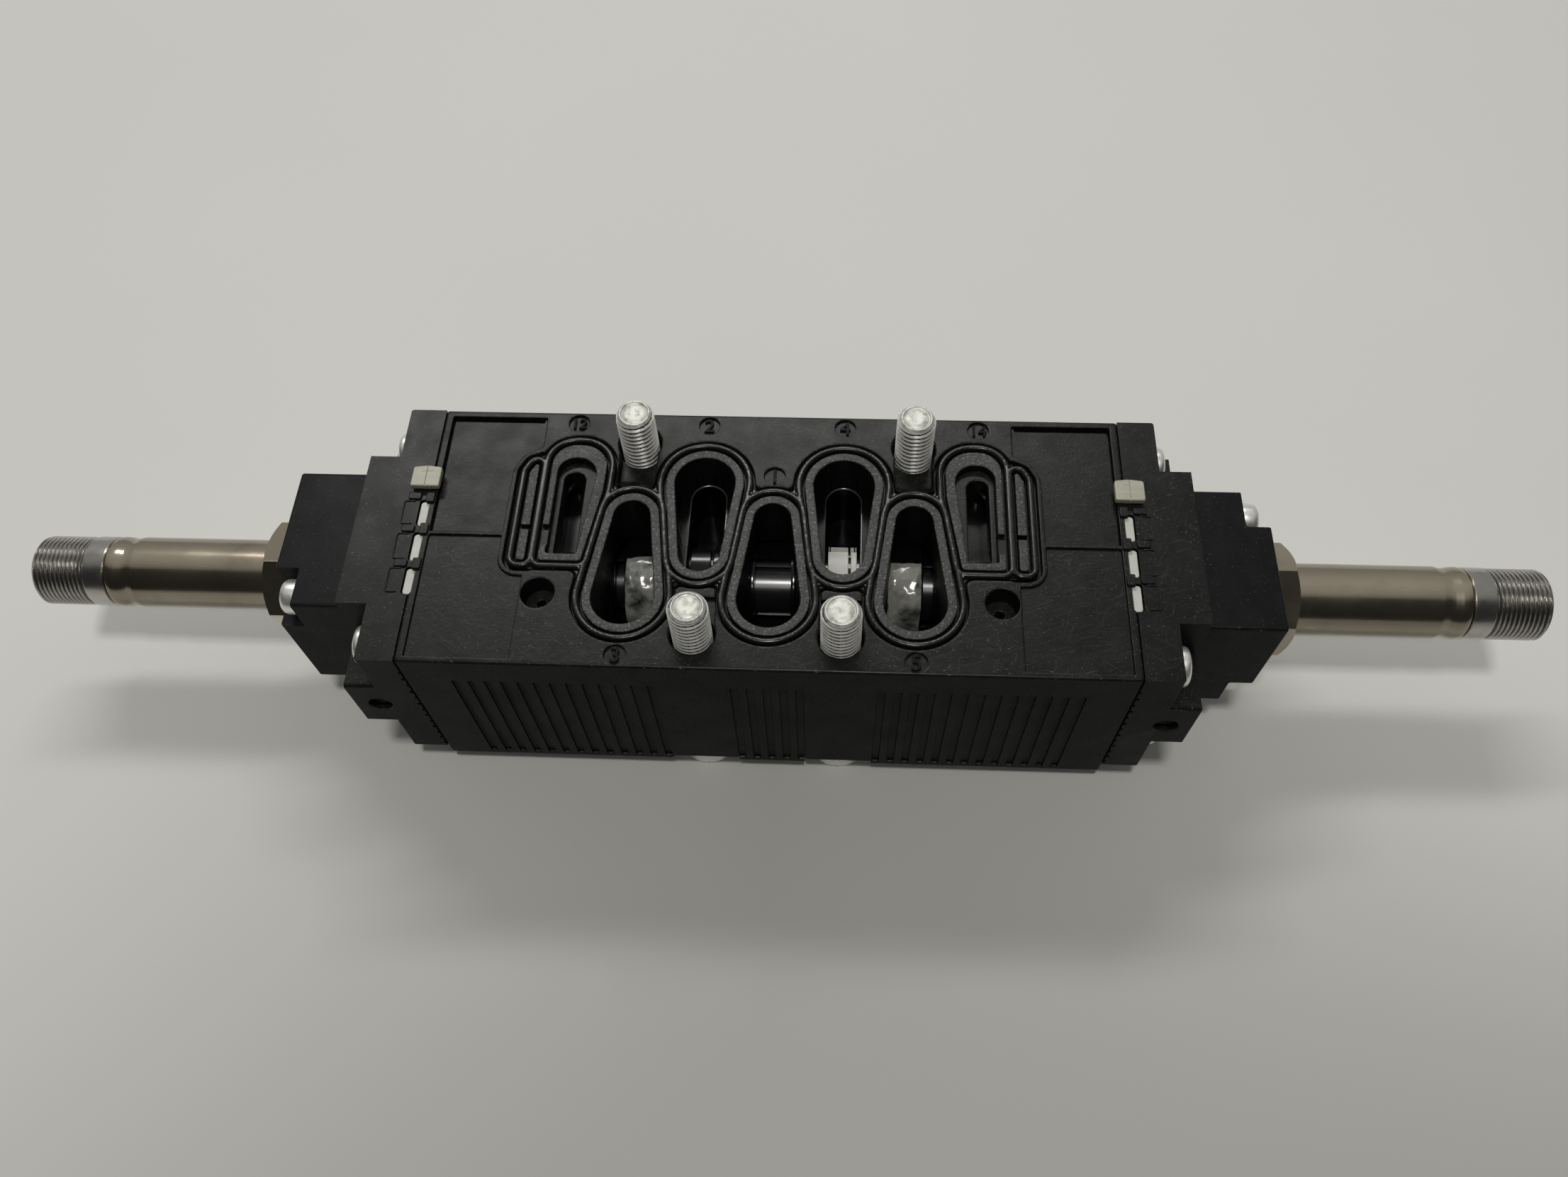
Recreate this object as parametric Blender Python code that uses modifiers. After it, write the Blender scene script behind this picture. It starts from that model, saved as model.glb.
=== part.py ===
"""Solenoid directional valve with the size 1 five-port sub-base interface.

A black moulded body holds a sliding spool in a stack of slotted cages and
seals.  A pilot valve with an armature tube sits on each end; the coils that
slip over the tubes are not fitted.  The valve lies upside down on the heads
of its four captive screws, with the mounting face up.

Frame: metres, +Z up, +X along the spool, origin at the bottom centre.
"""
import math

import bmesh
import bpy
from mathutils import Matrix, Vector

MM = 0.001

# Fits
SEAT_GAP = 0.3 * MM             # between pieces that lie against each other
SLIDE_GAP = 0.25 * MM           # radial, round a piece that slides
LOOSE_GAP = 0.35 * MM           # radial, round the captive screws

# Standard interface, seen from the mounting face
PORT_PITCH = 9.0 * MM
FAR_SCREW_X = 2 * PORT_PITCH    # in line with ports 3 and 5
FAR_SCREW_Y = 14.0 * MM
NEAR_SCREW_X = PORT_PITCH       # in line with ports 2 and 4
NEAR_SCREW_Y = -14.0 * MM

# Main body
BODY_WIDTH = 37.8 * MM
BODY_HEIGHT = 28.0 * MM
BODY_END_X = 44.7 * MM          # half length
BODY_BEVEL = 0.4 * MM
HEAD_STANDOUT = 2.7 * MM        # how far the screw heads reach below the body
AXIS_DEPTH = 12.9 * MM          # spool and tube axis below the mounting face
BORE_R = 6.5 * MM
CHAMBER_R = 9.0 * MM
CHAMBER_START_X = 31.0 * MM

# Ports: a teardrop is the hull of a wide and a narrow round end
PORT_WIDE_R = 3.92 * MM
ODD_NARROW_R = 2.35 * MM        # ports 1, 3 and 5, wide end towards -Y
ODD_WIDE_Y = -9.05 * MM
ODD_NARROW_Y = 2.62 * MM
EVEN_NARROW_R = 2.6 * MM        # ports 2 and 4, wide end towards +Y
EVEN_WIDE_Y = 7.95 * MM
EVEN_NARROW_Y = -2.67 * MM
EVEN_LEDGE_DEPTH = 6.1 * MM     # below it the well is only a slot
EVEN_SLOT_HALF = 2.43 * MM
LAND_SPACING = 1.0 * MM         # between the lands of neighbouring ports
GROOVE_WIDTH = 1.45 * MM
GROOVE_DEPTH = 1.0 * MM
GASKET_STANDOUT = 0.25 * MM     # how far the free gasket stands above the face



def half_width(y, wide_y, narrow_y, narrow_r):
    """Half the width of a teardrop port at one distance from the centre line."""
    lean = math.asin((PORT_WIDE_R - narrow_r) / abs(narrow_y - wide_y))
    return (PORT_WIDE_R - abs(y - wide_y) * math.sin(lean)) / math.cos(lean)


# The flat land round each port takes up the room between two ports
MIDDLE_Y = (ODD_WIDE_Y + EVEN_WIDE_Y) / 2
PORT_LAND = (PORT_PITCH - LAND_SPACING - half_width(MIDDLE_Y, ODD_WIDE_Y, ODD_NARROW_Y, ODD_NARROW_R)
             - half_width(MIDDLE_Y, EVEN_WIDE_Y, EVEN_NARROW_Y, EVEN_NARROW_R)) / 2

# Pilot ports 12 and 14, on the +X side: x from the arch centre, y, corner radius
PILOT_OFFSET = 7.15 * MM        # from the outermost port's land
PILOT_X = 2 * PORT_PITCH + PORT_LAND + PILOT_OFFSET
PILOT_LAND = ((2.9, -4.0, 0.4), (2.9, 13.6, 3.0), (-4.4, 13.6, 3.6), (-4.2, 6.5, 0.5), (-2.5, -4.0, 0.4))
PILOT_RECESS = ((2.1, -3.2, 0.3), (2.1, 11.5, 2.3), (-3.3, 11.5, 2.6), (-1.8, -3.2, 0.3))
PILOT_SLOT = ((1.35, -2.6, 0.3), (1.35, 9.9, 1.3), (-1.5, 9.9, 1.3), (-1.5, -2.6, 0.3))
RECESS_DEPTH = 1.2 * MM
SLOT_DEPTH = 6.0 * MM
CHANNEL_R = 0.9 * MM            # pilot air passage to the end cap
CHANNEL_Y = 9.0 * MM
CHANNEL_DEPTH = 3.4 * MM

# Gasket loop round a pilot port, with two ribs on its outer side
ARCH_Y = 9.7 * MM
ARCH_R = 4.95 * MM              # centre line of the gasket arch
ARCH_FOOT_Y = 5.0 * MM
RIB_WIDTH = 0.9 * MM
INNER_RIB_X = PILOT_X + 3.8 * MM
OUTER_RIB_X = PILOT_X + 6.5 * MM
BOTTOM_RIB_Y = -5.0 * MM
BOTTOM_RIB_START_X = PILOT_X - 2.9 * MM
SLANT_LOW_Y = 9.9 * MM          # where the outer rib turns inward
SLANT_TOP_X = PILOT_X + 3.5 * MM
POCKET_TOP_Y = (9.4 * MM, 11.6 * MM)   # of the space between the ribs, outer and inner
SHARP_ROUND = 0.3 * MM          # corner radii
SOFT_ROUND = 0.5 * MM
FOOT_ROUND = 1.0 * MM
SLANT_ROUND = 1.2 * MM
SHOULDER_ROUND = 3.0 * MM
ARCH_ROUND = 4.6 * MM

# Details of the mounting face
STUD_POCKET_HALF = 2.5 * MM
STUD_POCKET_DEPTH = 0.8 * MM
STUD_POCKET_END = 7.5 * MM      # how near the pockets come to the centre line
SIDE_HOLE_X = PILOT_X + 2.25 * MM
SIDE_HOLE_Y = -8.96 * MM
SIDE_HOLE_R = 2.0 * MM
SIDE_HOLE_DEPTH = 3.0 * MM
PANEL_DEPTH = 0.35 * MM
PANEL_EDGE = 1.1 * MM           # from the panel to the edges of the body
PANEL_IN_X = OUTER_RIB_X + 2.2 * MM
PANEL_RIDGE = 0.4 * MM          # width of the ridge across the panel

# Mounting screws, M5 socket heads
STUD_R = 2.5 * MM
STUD_STANDOUT = 6.5 * MM
STUD_CHAMFER = 0.6 * MM
HEAD_R = 4.25 * MM
HEAD_HEIGHT = 5.0 * MM
KEY_SIZE = 4.0 * MM             # across flats of the hexagon socket
KEY_DEPTH = 2.5 * MM
HEAD_NOTCH = 0.8 * MM           # height of the slots over the near heads

# Interface plate, half in the body and half in the cap
PLATE_SINK = 0.3 * MM
PLATE_THICK = 1.1 * MM
PLATE_SIDE_WALL = 2.3 * MM      # from the plate to the cap's flange edge
PLATE_TOP_DEPTH = 2.2 * MM
PLATE_BOTTOM_WALL = 0.5 * MM
WINDOWS = ((0.8 * MM, 4.0 * MM), (-4.4 * MM, -1.2 * MM), (-9.4 * MM, -5.9 * MM))

# Selector key, across the joint of body and cap
KEY_HEAD_IN = 1.45 * MM
KEY_HEAD_OUT = 1.98 * MM
KEY_HEAD_Y = (5.8 * MM, 8.9 * MM)
KEY_HEAD_RISE = 1.2 * MM        # top of the key above the mounting face
KEY_STEM_Y = (6.3 * MM, 8.4 * MM)
KEY_STEM_DEPTH = 1.6 * MM

# End cap
CAP_FLANGE = 4.5 * MM           # how far each step reaches out from the joint
CAP_BAND = 8.3 * MM
CAP_BOSS = 8.5 * MM
CAP_SIDE_STEP = 0.6 * MM        # from the flange to the side of the body
CAP_BOTTOM_STEP = 2.0 * MM
CAP_BOSS_HALF_Y = 11.1 * MM
BAND_HALF = 5.2 * MM            # half height of the full-width band
CAP_SCREW_Y = 14.8 * MM
CAP_SCREW_DZ = 8.8 * MM         # above and below the axis
CAP_SCREW_R = 1.5 * MM
CAP_HEAD_R = 2.8 * MM
CAP_HEAD_HEIGHT = 2.3 * MM
CAP_SCREW_LENGTH = 12.0 * MM
AIR_HOLE_R = 1.0 * MM

# Manual override, a sprung pin in the near side of the cap
OVERRIDE_PLACE = 5.1 * MM       # from the joint
OVERRIDE_R = 1.3 * MM
OVERRIDE_ROUND = 0.2 * MM
OVERRIDE_RECESS = 0.7 * MM
OVERRIDE_LENGTH = 6.5 * MM
OVERRIDE_STROKE = 1.0 * MM

# Pilot body
PILOT_LENGTH = 9.8 * MM
PILOT_HALF = 10.2 * MM
PILOT_CORNER = 5.6 * MM         # side of the two screw pockets
PILOT_CORNER_DEPTH = 3.2 * MM
PILOT_SCREW_R = 1.25 * MM
PILOT_HEAD_R = 2.3 * MM
PILOT_HEAD_HEIGHT = 2.3 * MM
PILOT_SCREW_LENGTH = 9.0 * MM
PILOT_GASKET_HALF = 7.5 * MM
PILOT_GASKET_THICK = 0.8 * MM
SPIGOT_BORE_DEPTH = 4.1 * MM
SEAT_REACH = 4.4 * MM           # tip of the brass seat from the pilot's inner face
SEAT_CONE = 1.2 * MM
SEAT_R = 2.5 * MM
SEAT_LIP = 0.3 * MM
SEAT_ORIFICE_R = 0.6 * MM

# Armature tube, with its nut, fixed core, plunger and spring
TUBE_R = 4.8 * MM
TUBE_WALL = 0.6 * MM
TUBE_STANDOUT = 22.65 * MM      # from the nut
TUBE_BEAD = 3.2 * MM            # from the bead's groove to the tube's end
TUBE_BEAD_GROOVE = 0.25 * MM
TUBE_BEAD_SLOPE = 0.4 * MM      # length of each side of the groove, and of its floor
TUBE_ROUND = 0.2 * MM           # at the tube's open end
NUT_WALL = 1.1 * MM             # of the spigot, round the tube
NUT_ACROSS_FLATS = 13.0 * MM
NUT_HEIGHT = 3.55 * MM
CORE_STEP = 0.05 * MM           # from the core's shoulder to the tube's outside
CORE_SHOULDER = 2.1 * MM
CORE_THREAD_R = 4.6 * MM
CORE_THREAD_LENGTH = 7.7 * MM
CORE_CHAMFER = 0.5 * MM
PLUNGER_LENGTH = 20.0 * MM
PLUNGER_STROKE = 1.0 * MM
PLUNGER_BEVEL = 0.4 * MM
SPRING_WIRE_R = 0.25 * MM
SPRING_COIL_R = 1.5 * MM
SPRING_LENGTH = 8.0 * MM
SPRING_TURNS = 5

# Spool, cages, seals and pistons
SPOOL_STROKE = 5.0 * MM
SPOOL_R = 4.0 * MM
SPOOL_WAIST_R = 2.8 * MM
SPOOL_SLOPE = 0.6 * MM          # length of the cone at the end of a land
LAND_HALF = 3.6 * MM            # half length of the lands under ports 2 and 4
OUTER_LAND = 1.4 * MM           # where the outer lands start, past ports 3 and 5
SEAL_WIDTH = 1.4 * MM
CAGE_WINDOW = 4.9 * MM
CAGE_RIB_HALF = 1.1 * MM
PISTON_GAP = 0.6 * MM           # from a piston to the plate at the end of its travel
PISTON_LENGTH = 5.0 * MM
PISTON_CLEARANCE = 0.4 * MM     # radial, in the chamber
PISTON_STEM_R = 2.5 * MM
PISTON_GROOVE = 1.7 * MM        # depth of the seal groove
PISTON_SEAL_WIDTH = 1.6 * MM
BUSH_FLANGE = 1.2 * MM

# Stations along X, outward from the middle
PLATE_IN_X = BODY_END_X - PLATE_SINK
PLATE_OUT_X = PLATE_IN_X + PLATE_THICK
CAP_IN_X = BODY_END_X + SEAT_GAP
CAP_FLANGE_X = CAP_IN_X + CAP_FLANGE
CAP_BAND_X = CAP_IN_X + CAP_BAND
CAP_BOSS_X = CAP_IN_X + CAP_BOSS
OVERRIDE_X = CAP_IN_X + OVERRIDE_PLACE
KEY_HEAD_X = (BODY_END_X - KEY_HEAD_IN, CAP_IN_X + KEY_HEAD_OUT)
PILOT_IN_X = CAP_BOSS_X + SEAT_GAP
PILOT_OUT_X = PILOT_IN_X + PILOT_LENGTH
SPIGOT_BORE_START_X = PILOT_OUT_X - SPIGOT_BORE_DEPTH
SEAT_TIP_X = PILOT_IN_X + SEAT_REACH
NUT_FACE_X = PILOT_OUT_X + SEAT_GAP + NUT_HEIGHT
TUBE_END_X = NUT_FACE_X + TUBE_STANDOUT
TUBE_BEAD_X = TUBE_END_X - TUBE_BEAD
CORE_THREAD_X = TUBE_END_X + SEAT_GAP + CORE_SHOULDER
CORE_END_X = CORE_THREAD_X + CORE_THREAD_LENGTH
PISTON_OUT_X = PLATE_IN_X - PISTON_GAP - SPOOL_STROKE / 2
PISTON_X = (PISTON_OUT_X - PISTON_LENGTH, PISTON_OUT_X)

# Radii, widths and heights that follow from the sizes above
STUD_HOLE_R = STUD_R + LOOSE_GAP
HEAD_POCKET_R = HEAD_R + LOOSE_GAP
CORE_R = TUBE_R - TUBE_WALL - SEAT_GAP
CORE_SHOULDER_R = TUBE_R - CORE_STEP
NUT_SPIGOT_R = TUBE_R + SEAT_GAP + NUT_WALL
PISTON_R = CHAMBER_R - PISTON_CLEARANCE
PISTON_GROOVE_R = PISTON_R - PISTON_GROOVE
HALF_Y = BODY_WIDTH / 2
CAP_HALF_Y = HALF_Y - CAP_SIDE_STEP
PLATE_HALF_Y = CAP_HALF_Y - PLATE_SIDE_WALL
FACE_Z = HEAD_STANDOUT + BODY_HEIGHT
BOTTOM_Z = HEAD_STANDOUT
AXIS_Z = FACE_Z - AXIS_DEPTH
CAP_BOTTOM_Z = BOTTOM_Z + CAP_BOTTOM_STEP
PLATE_BOTTOM_Z = CAP_BOTTOM_Z + PLATE_BOTTOM_WALL
PLATE_TOP_Z = FACE_Z - PLATE_TOP_DEPTH
SIDES = (("left", -1), ("right", 1))

# How finely round shapes are faceted
ARC_STEPS = 5                   # sides of the narrow round end of an outline
ARC_ANGLE = math.radians(30)    # largest turn between points on a corner
FINE = 10                       # sides of a screw, a pin or a small hole
ROUND = 16                      # sides of a tube, a plunger or the spool
WIDE_ROUND = 20                 # sides of the bore, the pistons and the rings
COIL_POINTS = 8                 # points on one turn of a spring
MERGE = 0.001 * MM              # points nearer than this are one
PAST = 1.0 * MM                 # how far a cutter runs past a face

PARTS = bpy.data.collections.new("solenoid_directional_valve")
CUTTERS = bpy.data.collections.new("cutters")


# ---------------------------------------------------------------- materials
PALETTE = {
    "black_plastic": ((0.018, 0.018, 0.019), 0.42, 0.0),
    "black_rubber": ((0.012, 0.012, 0.012), 0.3, 0.0),
    "zinc_steel": ((0.62, 0.62, 0.60), 0.28, 1.0),
    "white_plastic": ((0.62, 0.62, 0.59), 0.45, 0.0),
    "ivory_plastic": ((0.48, 0.46, 0.36), 0.45, 0.0),
    "nickel": ((0.55, 0.49, 0.40), 0.25, 1.0),
    "grey_steel": ((0.38, 0.37, 0.36), 0.35, 1.0),
    "spring_steel": ((0.5, 0.5, 0.5), 0.3, 1.0),
    "black_aluminium": ((0.03, 0.03, 0.032), 0.22, 0.6),
    "brass": ((0.6, 0.45, 0.2), 0.3, 1.0),
}


def piece_material(name, finish):
    """A material of the piece's own, with the colour of its finish."""
    colour, roughness, metallic = PALETTE[finish]
    material = bpy.data.materials.new(name + "_" + finish)
    material.use_nodes = True
    shader = material.node_tree.nodes["Principled BSDF"]
    shader.inputs["Base Color"].default_value = (*colour, 1.0)
    shader.inputs["Roughness"].default_value = roughness
    shader.inputs["Metallic"].default_value = metallic
    return material


# ------------------------------------------------------------ mesh helpers
def add_box(mesh, low, high):
    """A box between two corners."""
    low = Vector(low)
    size = Vector(high) - low
    place = Matrix.Translation(low + size / 2) @ Matrix.Diagonal((*size, 1.0))
    bmesh.ops.create_cube(mesh, size=1.0, matrix=place)


def add_cylinder(mesh, start, end, radius, sides=ROUND, turn=0.0):
    """A closed cylinder between two points, turned about its axis."""
    start = Vector(start)
    run = Vector(end) - start
    place = Matrix.Translation(start + run / 2) @ run.to_track_quat("Z", "Y").to_matrix().to_4x4()
    place = place @ Matrix.Rotation(turn, 4, "Z")
    bmesh.ops.create_cone(mesh, cap_ends=True, segments=sides, radius1=radius, radius2=radius,
                          depth=run.length, matrix=place)


def finish_object(name, data, finish, collection):
    """Links mesh or curve data as an object, a part or a cutter."""
    item = bpy.data.objects.new(name, data)
    collection.objects.link(item)
    if collection is CUTTERS:
        item.hide_render = True
        item.display_type = "WIRE"
    else:
        data.materials.append(piece_material(name, finish))
    return item


def mesh_object(name, mesh, finish="", collection=PARTS):
    """An object from a bmesh, smooth apart from its sharp edges."""
    data = bpy.data.meshes.new(name)
    mesh.to_mesh(data)
    mesh.free()
    data.shade_smooth()
    data.set_sharp_from_angle(angle=math.radians(35))
    return finish_object(name, data, finish, collection)


def cutter(name, mesh):
    return mesh_object(name, mesh, collection=CUTTERS)


def combine(target, tool, operation):
    """Joins, cuts or trims one object with another, by a live modifier."""
    modifier = target.modifiers.new(operation.lower() + "_" + tool.name, "BOOLEAN")
    modifier.operation = operation
    modifier.solver = "EXACT"
    modifier.object = tool
    return modifier


def add_bevel(target, width):
    modifier = target.modifiers.new("edges", "BEVEL")
    modifier.width = width
    modifier.segments = 1
    modifier.limit_method = "ANGLE"
    modifier.angle_limit = math.radians(50)


def merge_flats(target):
    """Joins the flat pieces of face that the Booleans leave behind."""
    modifier = target.modifiers.new("flats", "DECIMATE")
    modifier.decimate_type = "DISSOLVE"
    modifier.angle_limit = math.radians(1)


def prism(name, outline, low, high, finish="", collection=CUTTERS):
    """A flat outline in X and Y, raised between two heights, as a mesh."""
    curve = bpy.data.curves.new(name + "_outline", "CURVE")
    curve.dimensions = "2D"
    curve.fill_mode = "BOTH"
    curve.render_resolution_u = 0
    curve.extrude = (high - low) / 2
    spline = curve.splines.new("POLY")
    spline.points.add(len(outline) - 1)
    for point, (x, y) in zip(spline.points, outline):
        point.co = (x, y, 0.0, 1.0)
    spline.use_cyclic_u = True
    guide = bpy.data.objects.new(name + "_guide", curve)
    CUTTERS.objects.link(guide)
    guide.location.z = (low + high) / 2
    bpy.context.view_layer.update()
    graph = bpy.context.evaluated_depsgraph_get()
    data = bpy.data.meshes.new_from_object(guide.evaluated_get(graph))
    place = guide.matrix_world.copy()
    bpy.data.objects.remove(guide)
    mesh = bmesh.new()
    mesh.from_mesh(data)
    bpy.data.meshes.remove(data)
    bmesh.ops.remove_doubles(mesh, verts=mesh.verts, dist=MERGE)
    bmesh.ops.recalc_face_normals(mesh, faces=mesh.faces)
    item = mesh_object(name, mesh, finish, collection)
    item.matrix_world = place
    return item


def turned(name, profile, finish, side=1, sides=ROUND, centre=(0.0, AXIS_Z), collection=PARTS):
    """A turned piece on an axis along X.

    The profile holds (radius, distance from the centre plane), outward end
    first, down the outer side and, for a hollow piece, back up the inside.
    """
    data = bpy.data.meshes.new(name)
    points = [(radius, 0.0, along) for radius, along in profile]
    count = len(points)
    hollow = profile[0][0] > 0.0
    edges = [(i, i + 1) for i in range(count - 1)]
    if hollow:
        edges.append((count - 1, 0))
    data.from_pydata(points, edges, [])
    item = finish_object(name, data, finish, collection)
    screw = item.modifiers.new("turn", "SCREW")
    screw.axis = "Z"
    screw.angle = math.tau
    screw.steps = sides
    screw.render_steps = sides
    screw.use_merge_vertices = True
    screw.merge_threshold = MERGE
    screw.use_smooth_shade = True
    item.location = (0.0, centre[0], centre[1])
    item.rotation_euler = (0.0, side * math.radians(90), 0.0)
    return item


# ----------------------------------------------------------------- outlines
def teardrop(centre_x, wide_y, wide_r, narrow_y, narrow_r, grow=0.0):
    """Outline of two round ends and their common tangents, grown outward."""
    run = abs(narrow_y - wide_y)
    heading = math.copysign(1.0, narrow_y - wide_y)
    lean = math.acos((wide_r - narrow_r) / run)
    outline = []
    for end_y, radius, start, sweep, steps in (
            (wide_y, wide_r + grow, lean, math.tau - 2 * lean, 2 * ARC_STEPS),
            (narrow_y, narrow_r + grow, -lean, 2 * lean, ARC_STEPS)):
        for step in range(steps + 1):
            angle = start + sweep * step / steps
            outline.append((centre_x + radius * math.sin(angle) * heading,
                            end_y + radius * math.cos(angle) * heading))
    return outline


def odd_port(centre_x, grow=0.0):
    return teardrop(centre_x, ODD_WIDE_Y, PORT_WIDE_R, ODD_NARROW_Y, ODD_NARROW_R, grow)


def even_port(centre_x, grow=0.0):
    return teardrop(centre_x, EVEN_WIDE_Y, PORT_WIDE_R, EVEN_NARROW_Y, EVEN_NARROW_R, grow)


def rounded(corners, side=1):
    """Outline through (x, y, radius) corners, with an arc at each corner."""
    outline = []
    count = len(corners)
    for index, (x, y, radius) in enumerate(corners):
        here = Vector((x, y))
        before = Vector(corners[index - 1][:2]) - here
        after = Vector(corners[(index + 1) % count][:2]) - here
        half = before.angle(after) / 2
        reach = radius / math.tan(half)
        middle = here + (before.normalized() + after.normalized()).normalized() * radius / math.sin(half)
        start = here + before.normalized() * reach - middle
        end = here + after.normalized() * reach - middle
        turn = start.angle_signed(end)
        steps = max(1, math.ceil(abs(turn) / ARC_ANGLE - 0.01))
        for step in range(steps + 1):
            arm = start.copy()
            arm.rotate(Matrix.Rotation(-turn * step / steps, 2))
            outline.append((side * (middle.x + arm.x), middle.y + arm.y))
    return outline


def pilot_outline(corners, side):
    """Outline from corners in millimetres, x counted from the arch centre."""
    return rounded([(PILOT_X + x * MM, y * MM, radius * MM) for x, y, radius in corners], side)


def pilot_land(side, grow=0.0):
    """The land round a pilot port, grown outward on every side."""
    middle_y = (PILOT_LAND[0][1] + PILOT_LAND[1][1]) / 2
    step = grow / MM
    corners = [(x + math.copysign(step, x), y + math.copysign(step, y - middle_y), radius)
               for x, y, radius in PILOT_LAND]
    return pilot_outline(corners, side)


def pilot_loop(side, grow=0.0):
    """Outer edge of the gasket's end loop."""
    edge = RIB_WIDTH / 2 + grow
    outer = OUTER_RIB_X + edge
    bottom = BOTTOM_RIB_Y - edge
    top = ARCH_Y + ARCH_R + edge
    arch_start = PILOT_X - ARCH_R
    return rounded(((outer, bottom, FOOT_ROUND + grow),
                    (outer, SLANT_LOW_Y + grow / 2, SLANT_ROUND),
                    (SLANT_TOP_X + grow / 2, top, SHOULDER_ROUND + grow),
                    (arch_start - edge, top, ARCH_ROUND + grow),
                    (arch_start, ARCH_FOOT_Y, SOFT_ROUND),
                    (BOTTOM_RIB_START_X, bottom, SHARP_ROUND)), side)


def side_pocket(side):
    """The space between the two ribs of the end loop."""
    inner = INNER_RIB_X + RIB_WIDTH / 2
    outer = OUTER_RIB_X - RIB_WIDTH / 2
    bottom = BOTTOM_RIB_Y + RIB_WIDTH / 2
    outer_top, inner_top = POCKET_TOP_Y
    return rounded(((inner, bottom, SHARP_ROUND), (outer, bottom, SHARP_ROUND),
                    (outer, outer_top, SOFT_ROUND), (inner, inner_top, SHARP_ROUND)), side)


def all_ports():
    """Outline maker and centre of each port opening."""
    return ((odd_port, -2 * PORT_PITCH), (even_port, -PORT_PITCH), (odd_port, 0.0),
            (even_port, PORT_PITCH), (odd_port, 2 * PORT_PITCH))


# ---------------------------------------------------------------- main body
def joined_prisms(name, outlines, low, high, finish="", collection=CUTTERS):
    """One solid from overlapping outlines of one height."""
    base = prism(name, outlines[0], low, high, finish, collection)
    for index, outline in enumerate(outlines[1:]):
        combine(base, prism(name + "_add_%d" % index, outline, low, high), "UNION")
    return base


def loop_outlines(port_grow, loop_grow):
    outlines = [shape(x, port_grow) for shape, x in all_ports()]
    for _, side in SIDES:
        outlines.insert(0 if side < 0 else len(outlines), pilot_loop(side, loop_grow))
    return outlines


def groove_cutter():
    """The gasket groove: everything round the lands, down to its floor."""
    low, high = FACE_Z - GROOVE_DEPTH, FACE_Z + PAST
    groove = joined_prisms("groove", loop_outlines(PORT_LAND + GROOVE_WIDTH, SEAT_GAP * 2), low, high)
    for index, (shape, x) in enumerate(all_ports()):
        land = prism("land_%d" % index, shape(x, PORT_LAND), low - PAST, high + PAST)
        combine(groove, land, "DIFFERENCE")
    for name, side in SIDES:
        land = prism("pilot_land_" + name, pilot_land(side), low - PAST, high + PAST)
        combine(groove, land, "DIFFERENCE")
    return groove


def well_cutters():
    """Port wells down to the bore, and the pilot slots with their recesses."""
    wells = []
    for index, (shape, x) in enumerate(all_ports()):
        deep = FACE_Z - EVEN_LEDGE_DEPTH if shape is even_port else AXIS_Z
        wells.append(prism("well_%d" % index, shape(x), deep, FACE_Z + PAST))
        if shape is even_port:
            slot = teardrop(x, EVEN_WIDE_Y + PORT_WIDE_R - EVEN_SLOT_HALF, EVEN_SLOT_HALF,
                            EVEN_NARROW_Y, EVEN_SLOT_HALF)
            wells.append(prism("well_slot_%d" % index, slot, AXIS_Z, deep + PAST))
    for name, side in SIDES:
        wells.append(prism("recess_" + name, pilot_outline(PILOT_RECESS, side),
                           FACE_Z - RECESS_DEPTH, FACE_Z + PAST))
        wells.append(prism("pilot_slot_" + name, pilot_outline(PILOT_SLOT, side),
                           FACE_Z - SLOT_DEPTH, FACE_Z))
    return wells


def screw_places():
    """X and Y of the four mounting screws."""
    return ((-FAR_SCREW_X, FAR_SCREW_Y), (FAR_SCREW_X, FAR_SCREW_Y),
            (-NEAR_SCREW_X, NEAR_SCREW_Y), (NEAR_SCREW_X, NEAR_SCREW_Y))


def stud_cutters():
    """Through holes, notched head pockets below and shallow pockets on the face."""
    holes = bmesh.new()
    heads = bmesh.new()
    notches = bmesh.new()
    pockets = bmesh.new()
    for x, y in screw_places():
        add_cylinder(holes, (x, y, BOTTOM_Z - PAST), (x, y, FACE_Z + PAST), STUD_HOLE_R)
        add_cylinder(heads, (x, y, BOTTOM_Z - PAST), (x, y, HEAD_HEIGHT + SEAT_GAP), HEAD_POCKET_R)
        if y < 0.0:
            add_box(notches, (x - HEAD_POCKET_R, -HALF_Y - PAST, BOTTOM_Z - PAST),
                    (x + HEAD_POCKET_R, y, BOTTOM_Z + HEAD_NOTCH))
        inner = math.copysign(STUD_POCKET_END, y)
        add_box(pockets, (x - STUD_POCKET_HALF, min(y, inner), FACE_Z - STUD_POCKET_DEPTH),
                (x + STUD_POCKET_HALF, max(y, inner), FACE_Z + PAST))
    return [cutter("stud_holes", holes), cutter("head_pockets", heads), cutter("head_notches", notches),
            cutter("stud_pockets", pockets)]


def face_cutters():
    """Side holes and the recessed panels."""
    marks = bmesh.new()
    for _, side in SIDES:
        x, y = side * SIDE_HOLE_X, SIDE_HOLE_Y
        add_cylinder(marks, (x, y, FACE_Z - SIDE_HOLE_DEPTH), (x, y, FACE_Z + PAST), SIDE_HOLE_R, FINE)
        for low_y, high_y in ((PANEL_EDGE - HALF_Y, -PANEL_RIDGE), (0.0, HALF_Y - PANEL_EDGE)):
            add_side_box(marks, side, (PANEL_IN_X, BODY_END_X - PANEL_EDGE), (low_y, high_y),
                         (FACE_Z - PANEL_DEPTH, FACE_Z + PAST))
    return [cutter("face_marks", marks)]


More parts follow.
